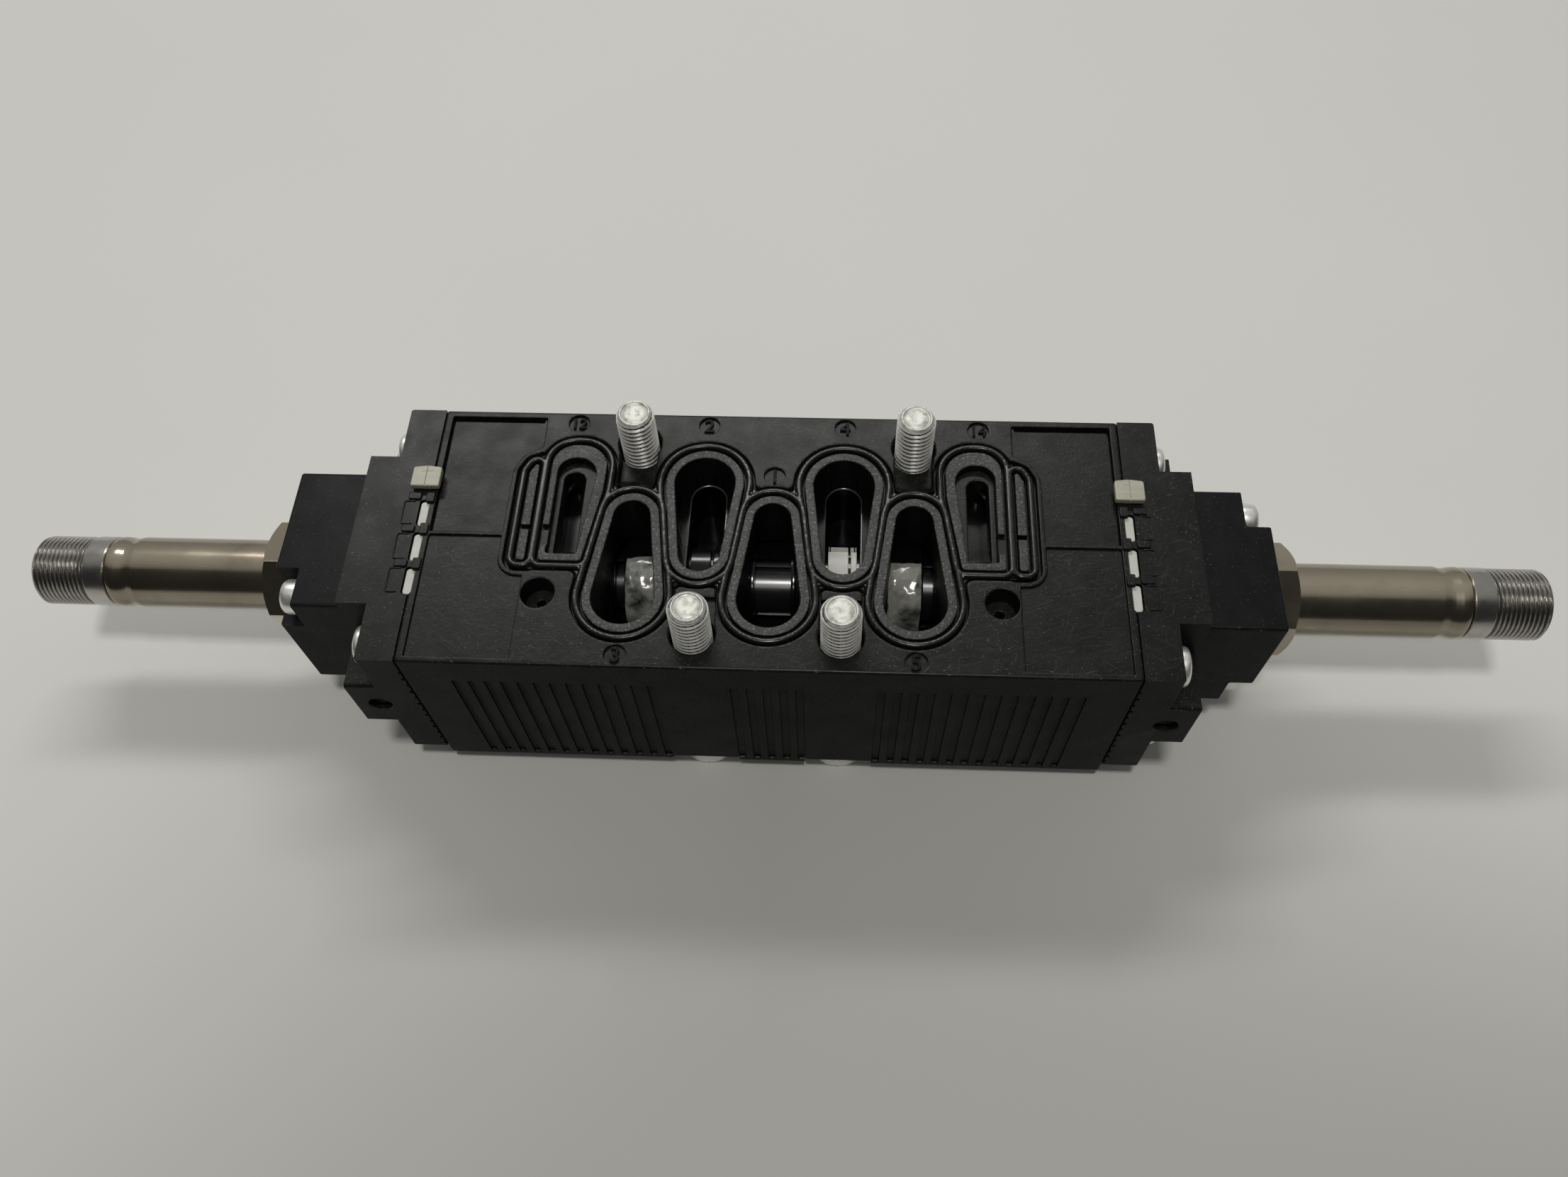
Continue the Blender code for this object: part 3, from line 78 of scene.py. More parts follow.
# Repeated from the CAD source, in millimetres
BORE_R = 6.5
CHAMBER_R = 9.0
CHAMBER_X = 31.0
WIDE_R = 3.92                   # ports: a teardrop joins a wide and a narrow round end
ODD_NARROW_R = 2.35
ODD_WIDE_Y = -9.05
ODD_NARROW_Y = 2.62
EVEN_NARROW_R = 2.6
EVEN_WIDE_Y = 7.95
EVEN_NARROW_Y = -2.67
LEDGE_DEPTH = 6.1
SLOT_HALF = 2.43
LAND = 1.156
PILOT_X = 26.306
GROOVE_DEPTH = 1.0

# The gasket, measured from the lands that it runs round
BEAD_PLACE = 0.75
BEAD_HALF = 0.46
GASKET_EDGE = 1.22
GROOVE_EDGE = 1.45
WEB_DROP = 0.28                 # rubber web between two beads, below the face
WEB_FILLET = 1.3


# ------------------------------------------------ distance fields on the face
def teardrop_field(centre_x, wide_y, narrow_y, narrow_r, wide_r=WIDE_R):
    """Signed distance to the hull of two circles on one line along Y."""
    run = abs(narrow_y - wide_y)
    heading = math.copysign(1.0, narrow_y - wide_y)
    sine = (wide_r - narrow_r) / run
    cosine = math.sqrt(1 - sine * sine)

    def field(p):
        x = np.abs(p[:, 0] - centre_x)
        y = (p[:, 1] - wide_y) * heading
        along = cosine * y - sine * x
        side = x * cosine + y * sine - wide_r
        return np.where(along < 0, np.hypot(x, y) - wide_r,
                        np.where(along > cosine * run, np.hypot(x, y - run) - narrow_r, side))
    return field


def odd_port(index):
    return teardrop_field(index * PITCH, ODD_WIDE_Y, ODD_NARROW_Y, ODD_NARROW_R)


def even_port(index):
    return teardrop_field(index * PITCH, EVEN_WIDE_Y, EVEN_NARROW_Y, EVEN_NARROW_R)


def rounded(corners, step_deg=10.0, closed=True):
    """Polyline through (u, v, radius) corners, with an arc at each corner."""
    outline = []
    count = len(corners)
    for index, (u, v, radius) in enumerate(corners):
        here = Vector((u, v))
        if radius <= 0 or (not closed and index in (0, count - 1)):
            outline.append((u, v))
            continue
        before = (Vector(corners[index - 1][:2]) - here).normalized()
        after = (Vector(corners[(index + 1) % count][:2]) - here).normalized()
        half = before.angle(after) / 2
        reach = radius / math.tan(half)
        centre = here + (before + after).normalized() * radius / math.sin(half)
        start = here + before * reach - centre
        turn = start.angle_signed(here + after * reach - centre)
        steps = max(1, math.ceil(abs(math.degrees(turn)) / step_deg - 0.01))
        for step in range(steps + 1):
            arm = start.copy()
            arm.rotate(Matrix.Rotation(-turn * step / steps, 2))
            outline.append((centre.x + arm.x, centre.y + arm.y))
    return outline


def polygon_field(corners):
    """Signed distance to a rounded polygon and its mirror image, given on the +X side."""
    outline = np.array(rounded(corners, 8.0))
    starts, ends = outline, np.roll(outline, -1, axis=0)

    def field(p):
        q = np.column_stack((np.abs(p[:, 0]), p[:, 1]))
        best = np.full(len(q), 1e9)
        inside = np.zeros(len(q), bool)
        for a, b in zip(starts, ends):
            run = b - a
            length = run @ run
            if length < 1e-12:
                continue
            offset = q - a
            t = np.clip(offset @ run / length, 0, 1)
            gap = offset - t[:, None] * run
            best = np.minimum(best, gap[:, 0] ** 2 + gap[:, 1] ** 2)
            crosses = (a[1] > q[:, 1]) != (b[1] > q[:, 1])
            if run[1] != 0:
                at = a[0] + run[0] * (q[:, 1] - a[1]) / run[1]
                inside ^= crosses & (q[:, 0] < at)
        distance = np.sqrt(best)
        return np.where(inside, -distance, distance)
    return field


def box_field(low_x, high_x, low_y, high_y):
    """Signed distance to a rectangle and its mirror image."""
    def field(p):
        dx = np.abs(np.abs(p[:, 0]) - (low_x + high_x) / 2) - (high_x - low_x) / 2
        dy = np.abs(p[:, 1] - (low_y + high_y) / 2) - (high_y - low_y) / 2
        return np.hypot(np.maximum(dx, 0), np.maximum(dy, 0)) + np.minimum(np.maximum(dx, dy), 0)
    return field


def disc_field(x, y, radius, both=True):
    """Signed distance to a circle, and as a rule to its mirror image."""
    return lambda p: np.hypot((np.abs(p[:, 0]) if both else p[:, 0]) - x, p[:, 1] - y) - radius


def smooth_min(a, b, reach):
    blend = np.maximum(reach - np.abs(a - b), 0) / reach
    return np.minimum(a, b) - blend * blend * reach / 4


# Lands of the five ports, of the pilot port and of the pocket beside it
PILOT_LAND = ((2.95, -4.25, 0.45), (2.95, 13.6, 3.0), (-4.4, 13.6, 3.6), (-4.2, 6.5, 0.6),
              (-2.5, -4.25, 0.5))
PILOT_RECESS = ((2.1, -3.2, 0.3), (2.1, 11.5, 2.3), (-3.3, 11.5, 2.6), (-1.8, -3.2, 0.3))
PILOT_SLOT = ((1.35, -2.6, 0.3), (1.35, 9.9, 1.3), (-1.5, 9.9, 1.3), (-1.5, -2.6, 0.3))
POCKET_LAND = ((4.6, -4.25, 0.3), (5.75, -4.25, 0.35), (5.75, 9.1, 0.9), (4.6, 11.3, 0.3))


def shifted(corners):
    return [(PILOT_X + x, y, radius) for x, y, radius in corners]


odd_ports = [odd_port(i) for i in (-2, 0, 2)]
even_ports = [even_port(i) for i in (-1, 1)]
pilot_land = polygon_field(shifted(PILOT_LAND))
pocket_land = polygon_field(shifted(POCKET_LAND))


def land_distances(p):
    """Distances to all lands, one row for each land."""
    return np.array([field(p) - LAND for field in odd_ports + even_ports]
                    + [pilot_land(p), pocket_land(p)])


def lands(p):
    return land_distances(p).min(axis=0)


def around_lands(p):
    """Distance from the nearest land, with the crotch between two filled."""
    distances = np.sort(land_distances(p), axis=0)[:3]
    return smooth_min(smooth_min(distances[0], distances[1], WEB_FILLET), distances[2], WEB_FILLET)


def crest_of(p):
    """Distance from the nearest land, and the distance where the bead's crest runs."""
    near, next_near = np.sort(land_distances(p), axis=0)[:2]
    return near, np.minimum(BEAD_PLACE, (near + next_near) / 2)


def bead(p):
    """Distance from the crest of the gasket's bead."""
    near, crest = crest_of(p)
    return np.abs(near - crest)


# ------------------------------------------------------- sheets with relief
def level_points(a, b, field, level):
    """Where the field reaches a level between each pair of points."""
    low, high = np.zeros(len(a)), np.ones(len(a))
    f_low, f_high = field(a) - level, field(b) - level
    for _ in range(7):
        t = np.clip(low - f_low * (high - low) / (f_high - f_low), low, high)
        f = field(a + (b - a) * t[:, None]) - level
        same = np.sign(f) == np.sign(f_low)
        f_high = np.where(same, f_high * 0.5, f)
        f_low = np.where(same, f, f_low * 0.5)
        low, high = np.where(same, t, low), np.where(same, high, t)
    return a + (b - a) * t[:, None]


def split_at(points, tris, field, level, snap=0.003):
    """Splits triangles along one level line of a field."""
    value = field(points) - level
    sign = np.where(np.abs(value) < snap, 0, np.sign(value)).astype(int)
    count = len(points)
    starts, ends = tris, np.roll(tris, -1, axis=1)
    crossing = sign[starts] * sign[ends] < 0
    if not crossing.any():
        return points, tris
    low, high = np.minimum(starts, ends), np.maximum(starts, ends)
    keys = low.astype(np.int64) * count + high
    unique, where = np.unique(keys[crossing], return_inverse=True)
    fresh = level_points(points[unique // count], points[unique % count], field, level)
    points = np.vstack((points, fresh))
    made = np.full(tris.shape, -1)
    made[crossing] = count + where
    total = crossing.sum(axis=1)
    out = [tris[total == 0]]
    for k in range(3):
        a, b, c = tris[:, k], tris[:, (k + 1) % 3], tris[:, (k + 2) % 3]
        one = (total == 1) & crossing[:, k]
        p = made[:, k]
        out += [np.column_stack(cut)[one] for cut in ((a, p, c), (p, b, c))]
        two = (total == 2) & crossing[:, k] & crossing[:, (k + 2) % 3]
        a, b, c, p, q = a[two], b[two], c[two], p[two], made[:, (k + 2) % 3][two]
        short = (np.linalg.norm(points[p] - points[c], axis=1)
                 < np.linalg.norm(points[b] - points[q], axis=1))[:, None]
        out += [np.column_stack((a, p, q)),
                np.where(short, np.column_stack((p, b, c)), np.column_stack((p, b, q))),
                np.where(short, np.column_stack((p, c, q)), np.column_stack((b, c, q)))]
    return points, np.vstack(out)


def grid(low_x, high_x, low_y, high_y, step):
    """Points and triangles of a flat rectangle."""
    nx, ny = round((high_x - low_x) / step), round((high_y - low_y) / step)
    x, y = np.meshgrid(np.linspace(low_x, high_x, nx + 1), np.linspace(low_y, high_y, ny + 1))
    index = np.arange((nx + 1) * (ny + 1)).reshape(ny + 1, nx + 1)
    a, b = index[:-1, :-1].ravel(), index[:-1, 1:].ravel()
    c, d = index[1:, 1:].ravel(), index[1:, :-1].ravel()
    odd = (np.add.outer(np.arange(ny), np.arange(nx)) % 2).ravel().astype(bool)[:, None]
    first = np.where(odd, np.column_stack((a, b, c)), np.column_stack((a, b, d)))
    second = np.where(odd, np.column_stack((a, c, d)), np.column_stack((b, c, d)))
    return np.column_stack((x.ravel(), y.ravel())), np.vstack((first, second))


class Cut:
    """A hollow with a rounded rim and a drafted wall.

    It starts from the mounting face, or at the depth "top" in another hollow.
    """

    def __init__(self, field, depth, rim=0.12, draft=0.08, slope=None, top=0.0):
        self.field, self.depth, self.rim = field, depth, rim
        self.draft, self.slope, self.top = draft, slope, top

    def levels(self):
        """Levels of the field where the sheet needs an edge."""
        shares = (1.0, 0.5, 0.134, 0.0) if self.rim > 0.13 else (1.0, 0.3, 0.0)
        return [self.rim * share for share in shares] + [-self.draft]

    def height(self, p):
        s, rim, top = self.field(p), self.rim, self.top
        floor = self.slope(p) if self.slope else self.depth
        arc = np.sqrt(np.maximum(rim ** 2 - (rim - np.clip(s, 0, rim)) ** 2, 0)) - rim
        wall = -rim + (floor - top - rim) * np.clip(s / self.draft, -1, 0)
        return np.where(s >= rim, 0.0, np.where(s > 0, arc, np.maximum(wall, top - floor)) - top)


# ----------------------------------------------------------- making objects
def link(name, data):
    item = bpy.data.objects.new(name, data)
    bpy.context.scene.collection.objects.link(item)
    return item


def bmesh_object(name, mesh):
    """An object from a bmesh in millimetres."""
    bmesh.ops.recalc_face_normals(mesh, faces=mesh.faces)
    bmesh.ops.scale(mesh, vec=(MM, MM, MM), verts=mesh.verts)
    data = bpy.data.meshes.new(name)
    mesh.to_mesh(data)
    mesh.free()
    return link(name, data)


def discard(item):
    data = item.data
    bpy.data.objects.remove(item)
    bpy.data.meshes.remove(data)


def settle(item):
    """Applies an object's modifiers to its mesh."""
    graph = bpy.context.evaluated_depsgraph_get()
    data = bpy.data.meshes.new_from_object(item.evaluated_get(graph))
    old = item.data
    item.modifiers.clear()
    item.data = data
    bpy.data.meshes.remove(old)


def combine(item, *tools, operation="DIFFERENCE"):
    """Cuts, joins or trims an object with others, which are used up."""
    for tool in tools:
        modifier = item.modifiers.new("combine", "BOOLEAN")
        modifier.operation = operation
        modifier.solver = "MANIFOLD"
        modifier.object = tool
        settle(item)
        if not item.data.polygons:
            raise RuntimeError("%s with %s left nothing" % (item.name, tool.name))
        discard(tool)
    return item


def set_materials(item, *materials):
    item.data.materials.clear()
    for material in materials:
        item.data.materials.append(material)


def bevel(item, width, segments=3, angle=40.0):
    modifier = item.modifiers.new("edges", "BEVEL")
    modifier.width = width * MM
    modifier.segments = segments
    modifier.limit_method = "ANGLE"
    modifier.angle_limit = math.radians(angle)
    modifier.use_clamp_overlap = True
    settle(item)
    return item


def piece(item, material, body, nodes=(), sharp=38.0):
    """Finishes an object: shading, material, body and CAD nodes."""
    data = item.data
    data.shade_smooth()
    data.set_sharp_from_angle(angle=math.radians(sharp))
    if material is not None:
        set_materials(item, material)
    weighted = item.modifiers.new("normals", "WEIGHTED_NORMAL")
    weighted.keep_sharp = True
    weighted.weight = 60
    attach(item, body)
    if nodes:
        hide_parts(*nodes)


def closed_sheet(name, points, tris, height, floor, mirror_floor=False):
    """A closed solid from a relief sheet, straight sides and a flat floor.

    The floor is one face, or has the sheet's own faces where that has holes.
    """
    mesh = bmesh.new()
    used = np.unique(tris)
    verts = {i: mesh.verts.new((points[i, 0], points[i, 1], height[i])) for i in used.tolist()}
    for a, b, c in tris.tolist():
        mesh.faces.new((verts[a], verts[b], verts[c]))
    bmesh.ops.dissolve_limit(mesh, angle_limit=math.radians(0.4), use_dissolve_boundaries=True,
                             verts=mesh.verts, edges=mesh.edges)
    bmesh.ops.triangulate(mesh, faces=[f for f in mesh.faces if len(f.verts) > 4])
    rim = [e for e in mesh.edges if e.is_boundary]
    above = list(mesh.verts) if mirror_floor else {v for e in rim for v in e.verts}
    twins = {v: mesh.verts.new((v.co.x, v.co.y, floor)) for v in above}
    if mirror_floor:
        for face in list(mesh.faces):
            mesh.faces.new([twins[v] for v in reversed(face.verts)])
    for edge in rim:
        loop = edge.link_loops[0]
        a, b = loop.vert, loop.link_loop_next.vert
        mesh.faces.new((b, a, twins[a], twins[b]))
    if not mirror_floor:
        chain = {}
        for edge in mesh.edges:
            if edge.is_boundary:
                loop = edge.link_loops[0]
                chain[loop.link_loop_next.vert] = loop.vert
        start = next(iter(chain))
        order, vert = [start], chain[start]
        while vert is not start:
            order.append(vert)
            vert = chain[vert]
        mesh.faces.new(order)
    return bmesh_object(name, mesh)


def extruded(name, outline, low, high, axis="z", edge=0.0):
    """A prism from an outline; its end edges are rounded if edge is given."""
    order = {"z": (0, 1, 2), "x": (2, 0, 1), "y": (0, 2, 1)}[axis]
    mesh = bmesh.new()
    rings = [[mesh.verts.new([(u, v, w)[i] for i in order]) for u, v in outline]
             for w in (low, high)]
    ends = [mesh.faces.new(ring) for ring in rings]
    count = len(outline)
    for i in range(count):
        j = (i + 1) % count
        mesh.faces.new((rings[0][i], rings[0][j], rings[1][j], rings[1][i]))
    bmesh.ops.recalc_face_normals(mesh, faces=mesh.faces)
    if edge:
        bmesh.ops.bevel(mesh, geom=[e for f in ends for e in f.edges], offset=edge, segments=3,
                        profile=0.5, affect="EDGES", clamp_overlap=True)
    return bmesh_object(name, mesh)


def block(name, low, high, corner=0.0, axis="z", edge=0.0):
    """A box with rounded corners round one axis and rounded end edges."""
    order = {"z": (0, 1, 2), "x": (1, 2, 0), "y": (0, 2, 1)}[axis]
    (u0, u1), (v0, v1), (w0, w1) = (sorted((low[i], high[i])) for i in order)
    corners = [(u, v, corner) for u, v in ((u0, v0), (u1, v0), (u1, v1), (u0, v1))]
    return extruded(name, rounded(corners, 15.0), w0, w1, axis, edge)


def side_block(name, side, x_range, y_range, z_range, **kwargs):
    return block(name, (side * x_range[0], y_range[0], z_range[0]),
                 (side * x_range[1], y_range[1], z_range[1]), **kwargs)


def lathe(name, profile, sides=96, side=1, centre=(0.0, AXIS_Z), shift=0.0, axis="x"):
    """A turned solid.  The profile holds (radius, along, corner radius)."""
    hollow = profile[0][0] > 0
    line = rounded([(r, a, c[0] if c else 0.0) for r, a, *c in profile], 18.0, closed=hollow)
    mesh = bmesh.new()
    rings = []
    for radius, along in line:
        points = []
        for i in range(sides if radius > 0 else 1):
            angle = math.tau * i / sides
            u, v = centre[0] + radius * math.cos(angle), centre[1] + radius * math.sin(angle)
            points.append((shift + side * along, u, v) if axis == "x" else (u, v, along))
        rings.append([mesh.verts.new(p) for p in points])
    pairs = list(zip(rings, rings[1:])) + ([(rings[-1], rings[0])] if hollow else [])
    for a, b in pairs:
        for i in range(sides):
            j = (i + 1) % sides
            face = dict.fromkeys((a[i % len(a)], a[j % len(a)], b[j % len(b)], b[i % len(b)]))
            if len(face) > 2:
                mesh.faces.new(face)
    return bmesh_object(name, mesh)


def stepped(start, *steps):
    """A profile of plain cylinders, from (radius, end) steps."""
    profile = [(0, start)]
    for radius, end in steps:
        profile += [(radius, start), (radius, end)]
        start = end
    return profile + [(0, start)]


def other_half(profile):
    """The rest of a profile that is the same on both sides of X = 0."""
    return [(radius, -x, *corner) for radius, x, *corner in reversed(profile)]


def rod(name, start, end, radius, sides=48):
    """A plain cylinder between two points, for cutting."""
    mesh = bmesh.new()
    start, end = Vector(start), Vector(end)
    turn = (end - start).to_track_quat("Z", "Y").to_matrix().to_4x4()
    bmesh.ops.create_cone(mesh, cap_ends=True, segments=sides, radius1=radius, radius2=radius,
                          depth=(end - start).length,
                          matrix=Matrix.Translation((start + end) / 2) @ turn)
    return bmesh_object(name, mesh)


def drill(start, end, y, z, radius, sides=48):
    """A cutter for a round hole along X."""
    return rod("hole", (start, y, z), (end, y, z), radius, sides)


def joined(name, items):
    """Several closed objects that don't touch, as one."""
    mesh = bmesh.new()
    for item in items:
        mesh.from_mesh(item.data)
        discard(item)
    data = bpy.data.meshes.new(name)
    mesh.to_mesh(data)
    mesh.free()
    return link(name, data)


# ---------------------------------------------------------------- materials
def feed(node, inputs):
    """Sets a node's inputs to values, or joins them to sockets."""
    for key, value in inputs.items():
        if isinstance(value, bpy.types.NodeSocket):
            node.id_data.links.new(value, node.inputs[key])
        else:
            node.inputs[key].default_value = value


def add(tree, kind, inputs, **settings):
    """Adds a shader node and returns its outputs."""
    node = tree.nodes.new("ShaderNode" + kind)
    for key, value in settings.items():
        setattr(node, key, value)
    feed(node, inputs)
    return node.outputs


def ramp(tree, value, stops):
    """A colour ramp, from (position, colour) stops."""
    colour = add(tree, "ValToRGB", {"Fac": value})["Color"]
    elements = colour.node.color_ramp.elements
    while len(elements) < len(stops):
        elements.new(0.5)
    for element, (at, shade) in zip(elements, stops):
        element.position = at
        element.color = (*shade, 1.0)
    return colour


def surface(name, colour, rough, metallic=0.0, specular=0.5, tint=(0.25, 400.0), specks=None,
            stain=None, coat=None, stretch=None, bumps=(), scratches=(), scratch_colour=None):
    """A node material from object coordinates, with noise scales per metre.

    rough holds (roughness, change, scale), tint (change, scale), specks (share,
    colour, scale), stain (colour, scale, low, high), coat (weight, roughness), a
    bump (scale, strength, height in mm) and a scratch (angle, length, width, low).
    """
    roughness, rough_change, rough_scale = rough
    tint, tint_scale = tint
    material = bpy.data.materials.new(name)
    material.use_nodes = True
    tree = material.node_tree
    shader = tree.nodes["Principled BSDF"]
    place = add(tree, "TexCoord", {})["Object"]
    if stretch:
        place = add(tree, "Mapping", {"Scale": stretch, "Vector": place})["Vector"]

    def noise_at(scale, detail, rough=0.55, vector=place):
        inputs = {"Scale": scale, "Detail": detail, "Roughness": rough, "Vector": vector}
        return add(tree, "TexNoise", inputs)["Fac"]

    def blend(under, over, value, low, high, most=1.0):
        """Lays a colour over another one where a value is high."""
        amount = ramp(tree, value, ((low, (0, 0, 0)), (high, (most, most, most))))
        inputs = {"Factor": amount, "A": under, "B": (*over, 1.0)}
        return add(tree, "Mix", inputs, data_type="RGBA")["Result"]

    shade = ramp(tree, noise_at(tint_scale, 4.0), ((0.3, [c * (1 - tint) for c in colour]),
                                                   (0.7, [c * (1 + tint) for c in colour])))
    if stain:
        stain_colour, stain_scale, low, high = stain
        shade = blend(shade, stain_colour, noise_at(stain_scale, 5.0, 0.6), low, high)
    if specks:
        share, speck_colour, speck_scale = specks
        low, high = 0.72 - share, 0.74 - share * 0.7
        shade = blend(shade, speck_colour, noise_at(speck_scale, 1.0), low, high)
    for angle, length, width, low in scratches:
        inputs = {"Rotation": (0.0, 0.0, math.radians(angle)), "Scale": (length, width, length),
                  "Vector": place}
        turned = add(tree, "Mapping", inputs, vector_type="TEXTURE")["Vector"]
        shade = blend(shade, scratch_colour, noise_at(1.0, 1.5, 0.5, turned), low, low + 0.05, 0.8)
    inputs = {"From Min": 0.3, "From Max": 0.7, "To Min": max(roughness - rough_change, 0.02),
              "To Max": min(roughness + rough_change, 1.0), "Value": noise_at(rough_scale, 4.0)}
    feed(shader, {"Base Color": shade, "Roughness": add(tree, "MapRange", inputs)["Result"],
                  "Metallic": metallic, "Specular IOR Level": specular})
    if coat:
        feed(shader, {"Coat Weight": coat[0], "Coat Roughness": coat[1]})
    normal = {}
    for scale, strength, height in bumps:
        inputs = {"Strength": strength, "Distance": height * MM, "Height": noise_at(scale, 2.0)}
        normal = {"Normal": add(tree, "Bump", {**inputs, **normal})["Normal"]}
    feed(shader, normal)
    return material


def fade_colour(material, measure, low, high, dark, light):
    """Scales a material's colour by a smooth step in a measure of the place."""
    tree = material.node_tree
    shader = tree.nodes["Principled BSDF"]
    colour = shader.inputs["Base Color"].links[0].from_socket
    split = add(tree, "SeparateXYZ", {"Vector": add(tree, "TexCoord", {})["Object"]})

    def step(operation, *values, clamp=False):
        inputs = dict(enumerate(values))
        return add(tree, "Math", inputs, operation=operation, use_clamp=clamp)["Value"]

    fall = add(tree, "MapRange", {"Value": measure(step, split), "From Min": low, "From Max": high,
                                  "To Min": dark, "To Max": light}, interpolation_type="SMOOTHSTEP")
    scaled = add(tree, "VectorMath", {0: colour, "Scale": fall["Result"]}, operation="SCALE")
    feed(shader, {"Base Color": scaled["Vector"]})
    return material


def paper_painted_shade(step, place):
    """Painted shade: falls off toward the photographer, sooner on the right, standing in for the
    light's falloff and the photographer's shadow.
    """
    across = step("MINIMUM", step("ABSOLUTE", place["X"]), 0.13)
    right = step("MULTIPLY_ADD", step("MULTIPLY_ADD", place["X"], 4.4, 0.5, clamp=True), 1.1, 0.6)
    return step("MULTIPLY_ADD", across, 0.5, step("MULTIPLY", right, place["Y"]))


def tube_painted_bands(step, place):
    """Grows from the tubes' near foot to their upper far side, and falls again past it: painted
    reflection bands, lighter above and darker at the near foot.
    """
    rise = step("SUBTRACT", place["Z"], AXIS_Z * MM)
    side = step("MULTIPLY_ADD", rise, 0.5, step("MULTIPLY", place["Y"], 0.86))
    return step("MINIMUM", side, step("MULTIPLY_ADD", side, -2.0, 6.6 * MM))


SCRATCHES = ((21.0, 0.0035, 0.00011, 0.655), (-34.0, 0.005, 0.00012, 0.66),
             (74.0, 0.003, 0.00011, 0.665), (4.0, 0.006, 0.00011, 0.67))
black_plastic = surface(
    "black_plastic", (0.0088, 0.0088, 0.0083), (0.33, 0.05, 260.0), specular=0.17,
    tint=(0.4, 300.0), specks=(0.02, (0.06, 0.06, 0.055), 3400.0),
    bumps=((420.0, 0.12, 0.04), (1500.0, 0.4, 0.03), (4200.0, 0.45, 0.025)), scratches=SCRATCHES,
    scratch_colour=(0.04, 0.04, 0.037))
side_plastic = surface(
    "side_plastic", (0.0078, 0.0078, 0.0078), (0.42, 0.05, 200.0), specular=0.07,
    tint=(0.3, 300.0), specks=(0.012, (0.05, 0.05, 0.048), 3400.0),
    bumps=((1500.0, 0.3, 0.03), (4200.0, 0.3, 0.02)))
edge_plastic = surface(
    "edge_plastic", (0.0085, 0.0085, 0.0082), (0.34, 0.08, 300.0), specular=0.2, tint=(0.5, 700.0),
    specks=(0.03, (0.07, 0.07, 0.067), 2200.0), bumps=((1500.0, 0.3, 0.02),))
land_plastic = surface(
    "land_plastic", (0.036, 0.036, 0.034), (0.42, 0.08, 300.0), specular=0.28, tint=(0.55, 2400.0),
    specks=(0.11, (0.13, 0.13, 0.125), 2900.0),
    bumps=((1900.0, 1.0, 0.06), (4200.0, 0.8, 0.035)))
# Port walls: smoother and glossier black, painted darker as shade deep in the wells.
well_painted_shade = surface(
    "well_painted_shade", (0.0018, 0.0018, 0.0019), (0.22, 0.05, 300.0), specular=0.22, tint=(0.3, 400.0),
    bumps=((700.0, 0.1, 0.02),))
# Painted highlight for the ledge rims in the even ports: a lighter, very glossy black.
rim_painted_highlight = surface(
    "rim_painted_highlight", (0.035, 0.035, 0.036), (0.2, 0.05, 300.0), specular=1.0, tint=(0.3, 400.0),
    bumps=((900.0, 0.1, 0.02),))
cap_plastic = surface(
    "cap_plastic", (0.0075, 0.0075, 0.0075), (0.32, 0.06, 200.0), specular=0.185,
    tint=(0.35, 280.0), specks=(0.028, (0.07, 0.07, 0.065), 3000.0),
    bumps=((600.0, 0.2, 0.035), (4200.0, 0.25, 0.02)), scratches=SCRATCHES[:3],
    scratch_colour=(0.035, 0.035, 0.033))
pilot_plastic = surface(
    "pilot_plastic", (0.0062, 0.0062, 0.0068), (0.38, 0.05, 300.0), specular=0.12,
    tint=(0.25, 420.0), specks=(0.02, (0.04, 0.04, 0.04), 3400.0),
    bumps=((1100.0, 0.25, 0.03), (5200.0, 0.25, 0.015)))
black_rubber = surface(
    "black_rubber", (0.006, 0.006, 0.006), (0.26, 0.04, 300.0), specular=0.4, tint=(0.2, 500.0),
    specks=(0.012, (0.06, 0.06, 0.055), 2600.0), bumps=((150.0, 0.05, 0.03),))
gloss_plastic = surface(
    "gloss_plastic", (0.0028, 0.0028, 0.0032), (0.15, 0.03, 300.0), specular=0.42,
    tint=(0.2, 400.0), bumps=((250.0, 0.04, 0.02),))
zinc = surface(
    "zinc", (0.92, 0.92, 0.88), (0.33, 0.07, 700.0), metallic=0.85, tint=(0.08, 500.0),
    stain=((0.42, 0.41, 0.37), 700.0, 0.55, 0.75), bumps=((1500.0, 0.1, 0.012),))
zinc_thread = surface(
    "zinc_thread", (0.94, 0.94, 0.9), (0.3, 0.06, 700.0), metallic=0.5, tint=(0.08, 500.0),
    stain=((0.5, 0.48, 0.42), 700.0, 0.55, 0.75), bumps=((1500.0, 0.1, 0.012),))
zinc_end = surface(
    "zinc_end", (0.62, 0.62, 0.575), (0.5, 0.08, 900.0), metallic=0.55, tint=(0.2, 900.0),
    stain=((0.33, 0.33, 0.30), 1300.0, 0.48, 0.7), bumps=((1300.0, 0.5, 0.06),))
# Painted shade for thread valleys: a dark, dull zinc laid on the faces below the crest band.
thread_valley_shade = surface(
    "thread_valley_shade", (0.07, 0.066, 0.056), (0.5, 0.08, 300.0), metallic=0.5, tint=(0.3, 900.0),
    bumps=((2500.0, 0.3, 0.02),))
nickel = surface(
    "nickel", (0.495, 0.44, 0.345), (0.17, 0.035, 160.0), metallic=1.0, tint=(0.06, 90.0),
    stain=((0.36, 0.295, 0.23), 120.0, 0.56, 0.78), bumps=((2200.0, 0.06, 0.006),),
    scratches=((0.0, 0.004, 0.0001, 0.71),), scratch_colour=(0.66, 0.62, 0.56))
